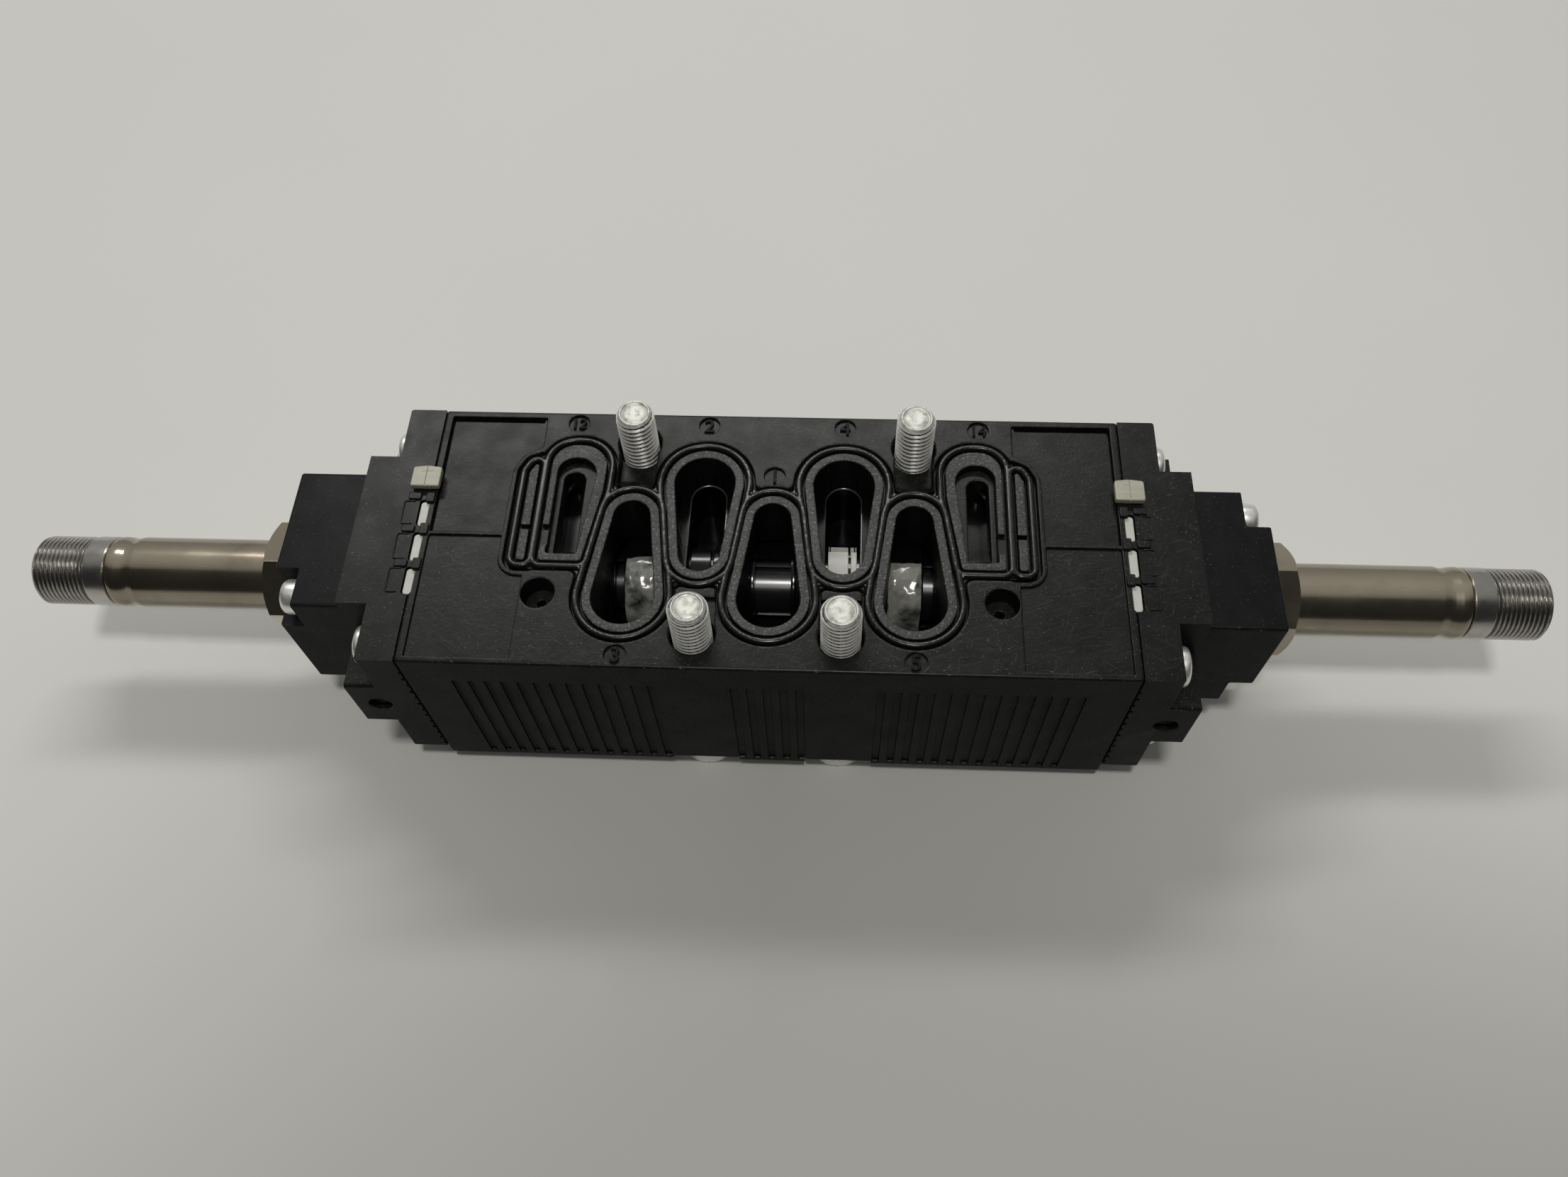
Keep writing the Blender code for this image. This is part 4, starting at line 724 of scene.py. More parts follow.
# Painted reflection: the tubes' nickel is darkened toward their near foot and lightened on their
# upper far side.
tube_nickel_painted_bands = nickel.copy()
tube_nickel_painted_bands.name = "tube_nickel_painted_bands"
fade_colour(tube_nickel_painted_bands, tube_painted_bands, -3.8 * MM, 2.4 * MM, 0.62, 1.32)
core_steel = surface(
    "core_steel", (0.50, 0.485, 0.455), (0.25, 0.05, 400.0), metallic=1.0, tint=(0.08, 250.0),
    stain=((0.36, 0.34, 0.31), 300.0, 0.55, 0.8), bumps=((1200.0, 0.06, 0.008),))
# Painted shade for the core's thread valleys: a darker steel laid below the crest band.
core_valley_shade = surface(
    "core_valley_shade", (0.2, 0.19, 0.175), (0.36, 0.08, 300.0), metallic=1.0, tint=(0.2, 700.0),
    bumps=((2500.0, 0.2, 0.01),))
white_plastic = surface(
    "white_plastic", (0.52, 0.52, 0.48), (0.4, 0.08, 300.0), tint=(0.08, 900.0),
    bumps=((1500.0, 0.2, 0.02),))
ivory_plastic = surface(
    "ivory_plastic", (0.385, 0.375, 0.295), (0.42, 0.08, 300.0), tint=(0.1, 400.0),
    specks=(0.02, (0.2, 0.18, 0.13), 1800.0), stretch=(0.5, 3.0, 1.0),
    bumps=((900.0, 0.35, 0.03), (3000.0, 0.2, 0.012)))
grease = surface(
    "grease", (0.27, 0.27, 0.245), (0.17, 0.05, 300.0), tint=(0.25, 420.0),
    stain=((0.012, 0.013, 0.017), 300.0, 0.47, 0.68), coat=(1.0, 0.1),
    bumps=((420.0, 0.4, 0.12),))
spring_steel = surface(
    "spring_steel", (0.5, 0.5, 0.49), (0.3, 0.08, 300.0), metallic=1.0,
    bumps=((1200.0, 0.2, 0.02),))
anodised = surface(
    "anodised", (0.008, 0.008, 0.010), (0.25, 0.03, 300.0), specular=0.8, tint=(0.2, 400.0),
    bumps=((900.0, 0.04, 0.01),))
brass = surface(
    "brass", (0.6, 0.44, 0.2), (0.3, 0.08, 300.0), metallic=1.0, tint=(0.12, 400.0),
    bumps=((1200.0, 0.2, 0.02),))


# ---------------------------------------------------------------- main body
PANEL = (30.85, 43.65)          # bare text panels, across X
WELL_DEPTH = 13.5               # ports, down into the bore
RECESS_DEPTH = 1.2              # pilot ports, above their slots
BLIND_HOLE = (28.55, -8.96)
BLIND_DEPTH = 3.0
FAR_TRAY = ((15.55, 7.25, 0.7), (20.45, 7.25, 0.7), (20.45, 14.0, 0), (15.55, 14.0, 0))
NEAR_TRAY = ((6.35, -14.0, 0), (11.65, -14.0, 0), (11.65, -9.0, 0.5), (6.35, -9.0, 0.5))
SLOT_R = SLOT_HALF - 0.15
STUD_HOLE_R = 2.86
DISC_R = 1.38
NUMBERS = (("12", -26.5, 17.07), ("14", 26.5, 17.07), ("2", -9.03, 17.07), ("4", 9.03, 17.07),
           ("3", -18.04, -17.24), ("5", 18.04, -17.24), ("1", 0.0, 9.17))
WINDOWS = ((0.5, 4.25), (-4.7, -0.7), (-9.5, -5.8))
KEY_Y = (5.8, 8.9)
STUDS = [middle("mounting_screw_%d" % (i + 1)) for i in range(4)]


def least(*fields):
    return lambda p: np.min([field(p) for field in fields], axis=0)


def edge_field(p):
    return np.minimum(BODY_END_X - np.abs(p[:, 0]), HALF_Y - np.abs(p[:, 1]))


def groove_field(p):
    far = around_lands(p)
    wide = np.where(pocket_land(p) < 2.0, 1.62, GROOVE_EDGE)
    return np.maximum(far - wide, -lands(p))


def panel_field(low_y, high_y):
    plate = box_field(PANEL[0], PANEL[1], low_y, high_y)
    return lambda p: np.maximum(plate(p), 2.2 - around_lands(p))


def slot_floor(p):
    return np.interp(p[:, 1], (-2.6, -1.2, 0.6), (1.7, 3.2, 6.0))


def far_tray_floor(p):
    return np.interp(p[:, 1], (7.2, 8.8), (0.5, 1.7))


slot_field = least(*(teardrop_field(i * PITCH, EVEN_WIDE_Y + WIDE_R - SLOT_HALF - 0.22,
                                    EVEN_NARROW_Y + 0.2, SLOT_R, SLOT_R + 1e-4) for i in (-1, 1)))
pilot_slot = polygon_field(shifted(PILOT_SLOT))


def body_cuts():
    """Every hollow in the mounting face; a later one wins only where it is deeper."""
    return [
        Cut(edge_field, 1.0, rim=0.35),
        Cut(groove_field, GROOVE_DEPTH, rim=0.12, draft=0.07),
        Cut(least(*odd_ports), WELL_DEPTH, rim=0.16, draft=0.15),
        Cut(least(*even_ports), LEDGE_DEPTH, rim=0.16, draft=0.12),
        Cut(slot_field, WELL_DEPTH, rim=0.17, draft=0.12, top=LEDGE_DEPTH),
        Cut(polygon_field(shifted(PILOT_RECESS)), RECESS_DEPTH, rim=0.14, draft=0.12),
        Cut(pilot_slot, 6.0, rim=0.1, draft=0.1, slope=slot_floor, top=RECESS_DEPTH),
        Cut(box_field(27.4, 29.8, 0.35, 1.05), 0.9, rim=0.05, draft=0.05),
        Cut(box_field(27.4, 29.8, -1.95, 0.4), 0.35, rim=0.08, draft=0.05),
        Cut(box_field(30.5, 32.5, 0.25, 0.95), 0.9, rim=0.05, draft=0.05),
        Cut(polygon_field(FAR_TRAY), 1.7, rim=0.2, draft=0.1, slope=far_tray_floor),
        Cut(disc_field(18.0, 14.0, STUD_HOLE_R), 5.0, rim=0.2, draft=0.05),
        Cut(polygon_field(NEAR_TRAY), 0.6, rim=0.15, draft=0.1),
        Cut(disc_field(9.0, -14.0, STUD_HOLE_R), 5.0, rim=0.2, draft=0.05),
        Cut(disc_field(*BLIND_HOLE, 2.08), BLIND_DEPTH, rim=0.15, draft=0.1),
        Cut(disc_field(*BLIND_HOLE, 0.6), 7.0, rim=0.08, draft=0.05, top=BLIND_DEPTH),
        Cut(panel_field(-0.28, 17.9), 0.4, rim=0.08, draft=0.08),
        Cut(panel_field(-18.1, -0.72), 0.34, rim=0.08, draft=0.08),
        Cut(box_field(31.2, 43.62, 17.25, 17.88), 1.0, rim=0.06, draft=0.05),
        Cut(box_field(43.3, 43.62, -0.3, 17.88), 0.85, rim=0.06, draft=0.05),
        Cut(least(*(disc_field(x, y, DISC_R, False) for _, x, y in NUMBERS)), 0.36,
            rim=0.06, draft=0.03),
    ]


def build_body():
    points, tris = grid(-BODY_END_X, BODY_END_X, -HALF_Y, HALF_Y, 0.3)
    cuts = body_cuts()
    for cut in cuts:
        for level in cut.levels():
            points, tris = split_at(points, tris, cut.field, level)
    height = np.min([cut.height(points) for cut in cuts], axis=0)
    return closed_sheet("body_moulding", points, tris, FACE_Z + height, BOTTOM_Z)


def bead_height(p):
    near, crest = crest_of(p)
    t = np.abs(near - crest)
    round_top = np.sqrt(np.maximum(1 - (t / (BEAD_HALF + 0.01)) ** 2.3, 0))
    soft = 0.5 * (1 + np.cos(np.pi * np.minimum(t / 0.6, 1)))
    outer = (near > crest) & (crest > BEAD_PLACE - 1e-6)
    share = np.where(outer, np.maximum(soft, round_top), round_top)
    return -WEB_DROP + (GASKET_TOP + WEB_DROP) * share


def gasket_field(p):
    near, crest = crest_of(p)
    return np.maximum(crest - near - BEAD_HALF, around_lands(p) - GASKET_EDGE)


def build_gasket():
    points, tris = grid(-34.5, 34.5, -15.5, 16.0, 0.3)
    points, tris = split_at(points, tris, gasket_field, 0.0)
    keep = gasket_field(points[tris].mean(axis=1)) < 0
    tris = tris[keep]
    for level in (0.1, 0.2, 0.3, 0.38, 0.43):
        points, tris = split_at(points, tris, bead, level)
    height = bead_height(points)
    used = np.unique(tris)
    remap = np.full(len(points), -1)
    remap[used] = np.arange(len(used))
    return closed_sheet("gasket_rubber", points[used], remap[tris], FACE_Z + height[used],
                        FACE_Z - GROOVE_DEPTH + 0.15, mirror_floor=True)


# ----------------------------------------------------- cuts through the body
PLATE_IN_X, PLATE_OUT_X = BODY_END_X - 0.3, BODY_END_X + 0.8
PLATE_LOW = box("interface_plate_right")[0]
PLATE_TOP_Z = FACE_Z - 2.2
PLATE_HALF_Y = 16.0
CAP_LOW, CAP_HIGH = box("end_cap_right")
CAP_SCREWS = [(y, AXIS_Z + z) for z in (8.8, -8.8) for y in (14.8, -14.8)]
CHANNEL = (9.0, FACE_Z - 3.4)   # pilot air along X: its Y and Z
CHANNEL_R = 0.9
SCREW_HOLE_R = 1.8
PILOT_HOLE_R = 1.55
AIR_R = 1.0
GAP = 0.3
RIBS = ((-26.25, 13), (0.08, 5), (26.25, 13))
RIB_PITCH = 2.02
RIB_HALF = 0.505
RIB_DEPTH = 0.36
RIB_TOP = 5.0                   # below the mounting face
HEAD_R = (4.15, 4.5)            # mounting heads, far and near; the far wall leaves less room
WINDOW_X = (44.28, 45.62)
FRAME_X = (46.05, 47.65)
TONGUE_X = (45.5, 47.2)
TAB_X = (43.75, 44.85)
OVERRIDE_HOLE_R = 1.55


def joint_tools(side, in_x, out_x):
    """Cutters for the plate, the windows and the key between two X stations."""
    a, b = sorted((side * in_x, side * out_x))
    tools = [block("seat", (a, -PLATE_HALF_Y - GAP, PLATE_LOW.z - GAP),
                   (b, PLATE_HALF_Y + GAP, PLATE_TOP_Z + GAP))]
    for low_y, high_y in WINDOWS:
        tools.append(side_block("window", side, WINDOW_X, (low_y - 0.12, high_y + 0.12),
                                (PLATE_TOP_Z - 1, FACE_Z + 1), corner=0.5))
    tools.append(block("key_slot", (a, 6.0, PLATE_TOP_Z - 1), (b, 8.7, FACE_Z + 1)))
    return tools


def rib_cutters():
    tools = []
    for centre, count in RIBS:
        for index in range(count):
            x = centre + (index - (count - 1) / 2) * RIB_PITCH
            for y in (-HALF_Y, HALF_Y):
                low = (x - RIB_HALF, y - RIB_DEPTH, BOTTOM_Z + 0.6)
                high = (x + RIB_HALF, y + RIB_DEPTH, FACE_Z - RIB_TOP)
                tools.append(block("rib", low, high, corner=0.2, edge=0.33))
    return joined("ribs", tools)


def finish_body(body):
    trim = block("trim", (0.01 - BODY_END_X, 0.01 - HALF_Y, BOTTOM_Z),
                 (BODY_END_X - 0.01, HALF_Y - 0.01, FACE_Z + 3), corner=0.05, edge=0.3)
    combine(body, trim, operation="INTERSECT")
    end = BODY_END_X + 2
    half = [(0, end), (CHAMBER_R, end), (CHAMBER_R, CHAMBER_X, 0.3), (BORE_R, CHAMBER_X)]
    combine(body, lathe("bore", half + other_half(half), sides=128), rib_cutters())
    for place in STUDS:
        x, y = place.x, place.y
        wide = HEAD_R[y < 0] + 0.24
        pocket = lathe("pocket", stepped(5.3, (wide, 0)), 64, centre=(x, y), axis="z")
        combine(body, rod("hole", (x, y, 4), (x, y, FACE_Z - 3), STUD_HOLE_R - 0.02), pocket)
        if y < 0:
            combine(body, block("notch", (x - 4.6, -HALF_Y - 1, 0), (x + 4.6, y, BOTTOM_Z + 0.8),
                                corner=0.3))
    for _, side in SIDES:
        combine(body, *joint_tools(side, PLATE_IN_X - GAP, BODY_END_X + 2))
        holes = [drill(side * 37.2, side * end, y, z, SCREW_HOLE_R) for y, z in CAP_SCREWS]
        holes.append(drill(side * PILOT_X, side * end, *CHANNEL, CHANNEL_R, 32))
        combine(body, joined("end_holes", holes))
    mark_lands(body)


def mark_lands(body):
    """Gives land tops their finish, the rims of the ledges a painted highlight and the walls of the
    wells painted shade.
    """
    data = body.data
    set_materials(body, black_plastic, land_plastic, well_painted_shade, rim_painted_highlight)
    places = np.empty(len(data.vertices) * 3, np.float32)
    data.vertices.foreach_get("co", places)
    places = places.reshape(-1, 3).astype(float) / MM
    on_land = (lands(places[:, :2]) < 0.03) & (places[:, 2] > FACE_Z - 0.14)
    dull_sides(body, top_only=True)
    # Well walls more than 1.35 mm down get painted shade.
    wells = least(*odd_ports, *even_ports, pilot_slot)
    in_well = (wells(places[:, :2]) < 0.02) & (places[:, 2] < FACE_Z - 1.35)
    # The rims of the ledges get a lighter colour as a painted highlight.
    slots = slot_field(places[:, :2])
    on_rim = (slots < 0.2) & (slots > -0.03) & (np.abs(places[:, 2] - FACE_Z + LEDGE_DEPTH) < 0.3)
    for face in data.polygons:
        if all(on_land[v] for v in face.vertices):
            face.material_index = 1
        elif all(on_rim[v] for v in face.vertices) and face.normal.z > 0.2:
            face.material_index = 3
        elif all(in_well[v] for v in face.vertices):
            face.material_index = 2


# ------------------------------------------------------------------ threads
def threaded(name, radius, pitch, depth, low, high, sides, steps, chamfer, dimple, shank):
    """A rod along +Z with a rounded helical thread between two heights.

    shank holds (radius, height) rings that carry the rod on below the thread.
    """
    heights = np.linspace(low, high, round((high - low) / pitch * steps) + 1)
    turns = np.arange(sides) / sides
    phase = (heights[:, None] / pitch - turns[None, :]) % 1.0
    wave = np.abs(2 * phase - 1)
    radii = radius - depth * np.clip(1.25 * wave - 0.1, 0, 1)
    radii = np.minimum(radii, radius - chamfer[1] + np.maximum(high - heights, 0)[:, None])
    radii = np.minimum(radii, radius - chamfer[0] + np.maximum(heights - low, 0)[:, None])
    rings = [(np.full(sides, r), z) for r, z in shank] + list(zip(radii, heights))
    for share, drop in ((0.94, 0.0), (0.88, 1.0), (0.8, 1.3), (0.72, 0.5), (0.4, 0.3), (0.12, 0.8)):
        rings.append((radii[-1] * share, high - dimple * drop))
    mesh = bmesh.new()
    angles = [math.tau * i / sides for i in range(sides)]
    around = [(math.cos(angle), math.sin(angle)) for angle in angles]
    rows = [[mesh.verts.new((r * cosine, r * sine, z)) for r, (cosine, sine) in zip(ring, around)]
            for ring, z in rings]
    for a, b in zip(rows, rows[1:]):
        for i in range(sides):
            j = (i + 1) % sides
            mesh.faces.new((a[i], a[j], b[j], b[i]))
    mesh.faces.new(rows[-1])
    mesh.faces.new(list(reversed(rows[0])))
    return bmesh_object(name, mesh)


def dull_sides(item, top_only=False):
    """Gives upright faces a duller finish and the rounded edges above them a worn one."""
    data = item.data
    first = len(data.materials)
    data.materials.append(side_plastic)
    data.materials.append(edge_plastic)
    for face in data.polygons:
        if face.material_index == 0:
            lean = face.normal.z
            place = face.center / MM
            if abs(lean) < 0.3:
                face.material_index = first
            elif lean < 0.95 and (not top_only or place.z > FACE_Z - 0.5 and
                                  (abs(place.y) > HALF_Y - 0.5 or abs(place.x) > BODY_END_X - 0.5)):
                face.material_index = first + 1


def finish_thread(item, radius, low, crest, end, materials):
    """Plain, end and valley materials for a rod that is threaded from one height on; the valley
    material is painted shade on faces more than crest in from the outer radius.
    """
    data = item.data
    set_materials(item, *materials)
    for face in data.polygons:
        place = face.center / MM
        if min(data.vertices[v].co.z for v in face.vertices) > end * MM:
            face.material_index = 1
        elif place.z > low and math.hypot(place.x, place.y) < radius - crest:
            face.material_index = 2
        else:
            face.material_index = 0


def rotation(degrees, axis):
    return Matrix.Rotation(math.radians(degrees), 4, axis)


def move(item, place, turn):
    """Turns an object's mesh and moves it, in millimetres."""
    item.data.transform(turn)
    item.data.transform(Matrix.Translation(Vector(place) * MM))
    return item


def hexagon(across, start, round_off=0.0):
    radius = across / math.sqrt(3)
    angles = [start + math.radians(60 * i) for i in range(6)]
    return rounded([(radius * math.cos(a), radius * math.sin(a), round_off) for a in angles], 20.0)


# ---------------------------------------------------------------- fasteners
STUD_R = 2.48                   # M5
THREAD_LOW = 21.0
CORE_R = 4.68
CORE_THREAD = 7.0               # its length


def build_mounting_screws():
    tip = box("mounting_screw_1")[1].z
    for index, place in enumerate(STUDS):
        name = "mounting_screw_%d" % (index + 1)
        low = THREAD_LOW
        head = HEAD_R[place.y < 0]
        shank = [(0.2, 0.0), (head - 0.3, 0.0), (head - 0.1, 0.08), (head - 0.02, 0.25),
                 (head, 0.5), (head, 4.6), (head - 0.1, 4.9), (head - 0.4, 5.0), (2.6, 5.0),
                 (2.45, 5.2), (2.42, low - 0.4), (2.2, low - 0.02)]
        screw = threaded(name + "_zinc", STUD_R, pitch=0.8, depth=0.42, low=low, high=tip, sides=64,
                         steps=16, chamfer=(0.3, 0.55), dimple=0.12, shank=shank)
        combine(screw, extruded("socket", hexagon(4.0, 0.3, 0.1), -1, 2.5))
        # Painted shade fills the thread valleys below a bright crest band, 0.22 mm deep on the near
        # studs and 0.27 mm on the far ones.
        finish_thread(screw, STUD_R, low, 0.22 if place.y < 0 else 0.27, tip - 0.3,
                      (zinc_thread, zinc_end, thread_valley_shade))
        move(screw, (place.x, place.y, 0.0), rotation(40 * index, "Z"))
        piece(screw, None, ROOT, [name])


def head_screw(node, side, seat_x, place, head_r, head_height, shank_r, end_x, socket):
    """A rounded head along X with a hexagon socket, and a plain shank."""
    under, top = seat_x + 0.06, seat_x + 0.06 + head_height
    profile = ((0, top), (head_r, top, head_height * 0.42), (head_r, under, 0.2),
               (shank_r, under), (shank_r, end_x, 0.3), (0, end_x))
    screw = lathe(node + "_zinc", profile, 56, side, place)
    low, high = sorted((side * (top - head_height * 0.55), side * (top + 1)))
    outline = [(place[0] + u, place[1] + v) for u, v in hexagon(socket, 0.2)]
    combine(screw, extruded("socket", outline, low, high, axis="x"))
    piece(screw, zinc, ROOT, [node])


def pilot_screws(side_name):
    """Middles of the two pilot screws on one side."""
    return [middle("pilot_screw_%s_%d" % (side_name, index)) for index in (1, 2)]


def build_end_screws(name, side):
    for index, place in enumerate(CAP_SCREWS):
        node = "cap_screw_%s_%d" % (name, index + 1)
        head_screw(node, side, CAP_FLANGE_X, place, 2.55, 1.5, 1.5, CAP_FLANGE_X - 12.0, 2.4)
    for index, at in enumerate(pilot_screws(name)):
        node = "pilot_screw_%s_%d" % (name, index + 1)
        head_screw(node, side, PILOT_OUT_X - 3.2, (at.y, at.z), 2.3, 2.3, 1.25,
                   PILOT_OUT_X - 12.2, 2.0)


# ------------------------------------------------ end caps, plates and keys
CAP_IN_X = CAP_LOW.x
CAP_HALF_Y = 18.87              # just inside the body's sides
CAP_FLANGE_X = CAP_IN_X + 4.5
CAP_BOTTOM_Z = CAP_LOW.z
PILOT_LOW, PILOT_HIGH = box("pilot_body_right")
PILOT_OUT_X = PILOT_HIGH.x
PILOT_HALF = 10.2
OVERRIDE = middle("manual_override_right")
TO_NEAR_SIDE = rotation(90, "X")


def build_cap(name, side):
    in_x = BODY_END_X + 0.03
    cap = side_block("cap_%s_moulding" % name, side, (in_x - 0.6, CAP_FLANGE_X),
                     (-CAP_HALF_Y, CAP_HALF_Y), (CAP_BOTTOM_Z, FACE_Z), corner=0.35)
    boss = side_block("boss", side, (CAP_IN_X + 1, CAP_HIGH.x), (-11.1, 11.1),
                      (CAP_BOTTOM_Z, FACE_Z))
    band = side_block("band", side, (in_x - 0.5, CAP_IN_X + 8.3), (-CAP_HALF_Y, CAP_HALF_Y),
                      (AXIS_Z - 5.2, AXIS_Z + 5.2), corner=0.5, axis="x")
    combine(cap, boss, band, operation="UNION")
    flats(cap)
    bevel(cap, 0.3, 3, 50)
    combine(cap, side_block("joint", side, (in_x - 2, in_x), (-20, 20), (-1, FACE_Z + 2)))
    tools = joint_tools(side, CAP_IN_X - 1, PLATE_OUT_X + GAP)
    x = side * OVERRIDE.x
    tools.append(rod("override", (x, -HALF_Y - 1, AXIS_Z), (x, -10.4, AXIS_Z), OVERRIDE_HOLE_R))
    rim = lathe("rim", ((0, 1), (1.75, 1), (1.75, 0.0), (OVERRIDE_HOLE_R, -0.15), (0, -0.15)),
                48, axis="z", centre=(0, 0))
    tools.append(move(rim, (x, -HALF_Y, AXIS_Z), TO_NEAR_SIDE))
    start, end = side * (CAP_IN_X - 1), side * (CAP_HIGH.x + 1)
    holes = [drill(start, side * (CAP_FLANGE_X + 2), y, z, SCREW_HOLE_R) for y, z in CAP_SCREWS]
    holes.append(drill(start, end, 0, AXIS_Z, AIR_R))
    for at in pilot_screws(name):
        holes.append(drill(side * (PILOT_OUT_X - 12.5), end, at.y, at.z, PILOT_HOLE_R))
    combine(cap, *tools)
    combine(cap, *holes)
    combine(cap, joint_teeth(side))
    piece(worn(cap, cap_plastic), None, ROOT, ["end_cap_" + name])


def joint_teeth(side):
    """Small nicks down both sides of the joint between body and cap."""
    x = BODY_END_X + 0.07
    tools = []
    for index in range(13):
        z = BOTTOM_Z + 3.0 + index * 1.8
        for turn in (-1, 1):
            tools.append(side_block("nick", side, (x - 0.1, x + 0.2 + 0.12 * (index % 2)),
                                    (turn * 18.6, turn * 19.5), (z - 0.34, z + 0.34)))
    return joined("nicks", tools)


def build_joint_details(name, side):
    """Frames round the label windows, tongues between them and tabs over the joint."""
    items = []
    for low_y, high_y in WINDOWS:
        low_y, high_y = low_y + 0.1, high_y - 0.05
        outer = side_block("frame", side, FRAME_X, (low_y, high_y),
                           (FACE_Z - 0.3, FACE_Z + 0.13), corner=0.35)
        combine(outer, side_block("hollow", side, (45.8, 47.5), (low_y + 0.15, high_y - 0.15),
                                  (FACE_Z - 0.5, FACE_Z + 0.5), corner=0.25))
        items.append(bevel(outer, 0.05, 2))
    for y in (4.85, -0.1, -5.25):
        items.append(side_block("tongue", side, TONGUE_X, (y - 0.56, y + 0.56),
                                (FACE_Z - 0.3, FACE_Z + 0.3), corner=0.3, edge=0.15))
    piece(worn(joined("cap_trim_" + name, items), cap_plastic), None, ROOT)
    items = [side_block("tab", side, TAB_X, y_range, (FACE_Z - 0.9, FACE_Z + 0.34),
                        corner=0.22, edge=0.12)
             for y_range in ((3.9, 5.5), (-0.95, 0.7), (-6.1, -4.5))]
    piece(worn(joined("joint_tabs_" + name, items), black_plastic), None, ROOT)


def worn(item, material):
    """A moulded material with its side and edge finishes."""
    set_materials(item, material)
    for face in item.data.polygons:
        face.material_index = 0
    dull_sides(item)
    return item


def flats(item):
    """Joins faces that lie in one plane."""
    modifier = item.modifiers.new("flats", "DECIMATE")
    modifier.decimate_type = "DISSOLVE"
    modifier.angle_limit = math.radians(1.0)
    settle(item)


def build_plate(name, side):
    a, b = sorted((side * PLATE_IN_X, side * PLATE_OUT_X))
    plate = block("plate_%s_white" % name, (a, -PLATE_HALF_Y, PLATE_LOW.z),
                  (b, PLATE_HALF_Y, PLATE_TOP_Z), corner=0.5, axis="x", edge=0.15)
    for y_range in WINDOWS:
        lug = side_block("lug", side, (PLATE_IN_X, PLATE_OUT_X), y_range,
                         (PLATE_TOP_Z - 0.8, FACE_Z - GAP), corner=0.45, edge=0.12)
        combine(plate, lug, operation="UNION")
    holes = [drill(a - 1, b + 1, y, z, SCREW_HOLE_R) for y, z in CAP_SCREWS]
    holes.append(drill(a - 1, b + 1, 0, AXIS_Z, AIR_R))
    holes.append(drill(a - 1, b + 1, *CHANNEL, CHANNEL_R))
    combine(plate, joined("holes", holes))
    piece(plate, white_plastic, ROOT, ["interface_plate_" + name])


def build_key(name, side):
    low, high = box("selector_key_" + name)
    in_x, out_x = sorted((abs(low.x), abs(high.x)))
    low_y, high_y = KEY_Y
    outline = rounded([(in_x, low_y, 0.25), (out_x, low_y, 0.25), (out_x, high_y - 0.15, 0.35),
                       ((in_x + out_x) / 2, high_y + 0.1, 3.0), (in_x, high_y - 0.15, 0.35)], 12.0)
    key = extruded("key_%s_ivory" % name, [(side * x, y) for x, y in outline],
                   FACE_Z + GAP, high.z, edge=0.16)
    stem = side_block("stem", side, (PLATE_IN_X, PLATE_OUT_X), (6.3, 8.4), (low.z, FACE_Z + 0.6))
    neck = side_block("neck", side, (PLATE_IN_X + 0.1, PLATE_OUT_X - 0.1), (6.0, 6.6),
                      (FACE_Z - 0.5, FACE_Z + 0.5))
    combine(key, stem, neck, operation="UNION")
    seam = side_block("seam", side, (45.02, 45.16), (low_y - 1, high_y + 1),
                      (high.z - 0.14, high.z + 1))
    nick = side_block("nick", side, (44.3, 45.3), (8.05, 8.11), (high.z - 0.05, high.z + 1))
    combine(key, seam, nick)
    piece(key, ivory_plastic, ROOT, ["selector_key_" + name])


def build_override(name, side):
    node = "manual_override_" + name
    low, high = box(node)
    pin = lathe(node + "_pin", ((0, 0.12), (0.35, 0.12), (0.5, 0.0), (1.3, 0.0, 0.2),
                                (1.3, -6.5, 0.2), (0, -6.5)), 48, axis="z", centre=(0, 0))
    combine(pin, block("slot", (-0.9, -0.18, -0.3), (0.9, 0.18, 1)))
    move(pin, (side * OVERRIDE.x, low.y + 0.12, AXIS_Z), TO_NEAR_SIDE)
    piece(pin, edge_plastic, "override_%s_body" % name, [node])


# ------------------------------------------------------------- pilot valves
def build_pilot(name, side):
    pilot = side_block("pilot_%s_moulding" % name, side, (PILOT_LOW.x, PILOT_OUT_X),
                       (-PILOT_HALF, PILOT_HALF), (AXIS_Z - PILOT_HALF, AXIS_Z + PILOT_HALF),
                       corner=0.5, axis="x", edge=0.35)
    tools = []
    for at in pilot_screws(name):
        y, z = math.copysign(1, at.y), math.copysign(1, at.z - AXIS_Z)
        tools.append(block("corner", (side * (PILOT_OUT_X - 3.2), 4.6 * y, AXIS_Z + 4.6 * z),
                           (side * (PILOT_OUT_X + 1), 11 * y, AXIS_Z + 11 * z),
                           corner=1.2, axis="x", edge=0.3))
        tools.append(drill(side * (PILOT_LOW.x - 1), side * PILOT_OUT_X, at.y, at.z, PILOT_HOLE_R))
    tools.append(side_block("seat", side, (PILOT_LOW.x - 1, PILOT_LOW.x + 1.1), (-5.6, 5.6),
                            (AXIS_Z - 7.8, AXIS_Z + 7.8)))
    steps = (6.5, PILOT_OUT_X - 4.1), (4.5, PILOT_LOW.x + 4.1), (2.8, PILOT_LOW.x - 1)
    tools.append(lathe("bores", stepped(PILOT_OUT_X + 1, *steps), 96, side))
    combine(pilot, *tools)
    piece(worn(pilot, pilot_plastic), None, ROOT, ["pilot_body_" + name])


NUT_ACROSS = 13.0
NUT_TURN = {"left": -16, "right": 0}    # degrees


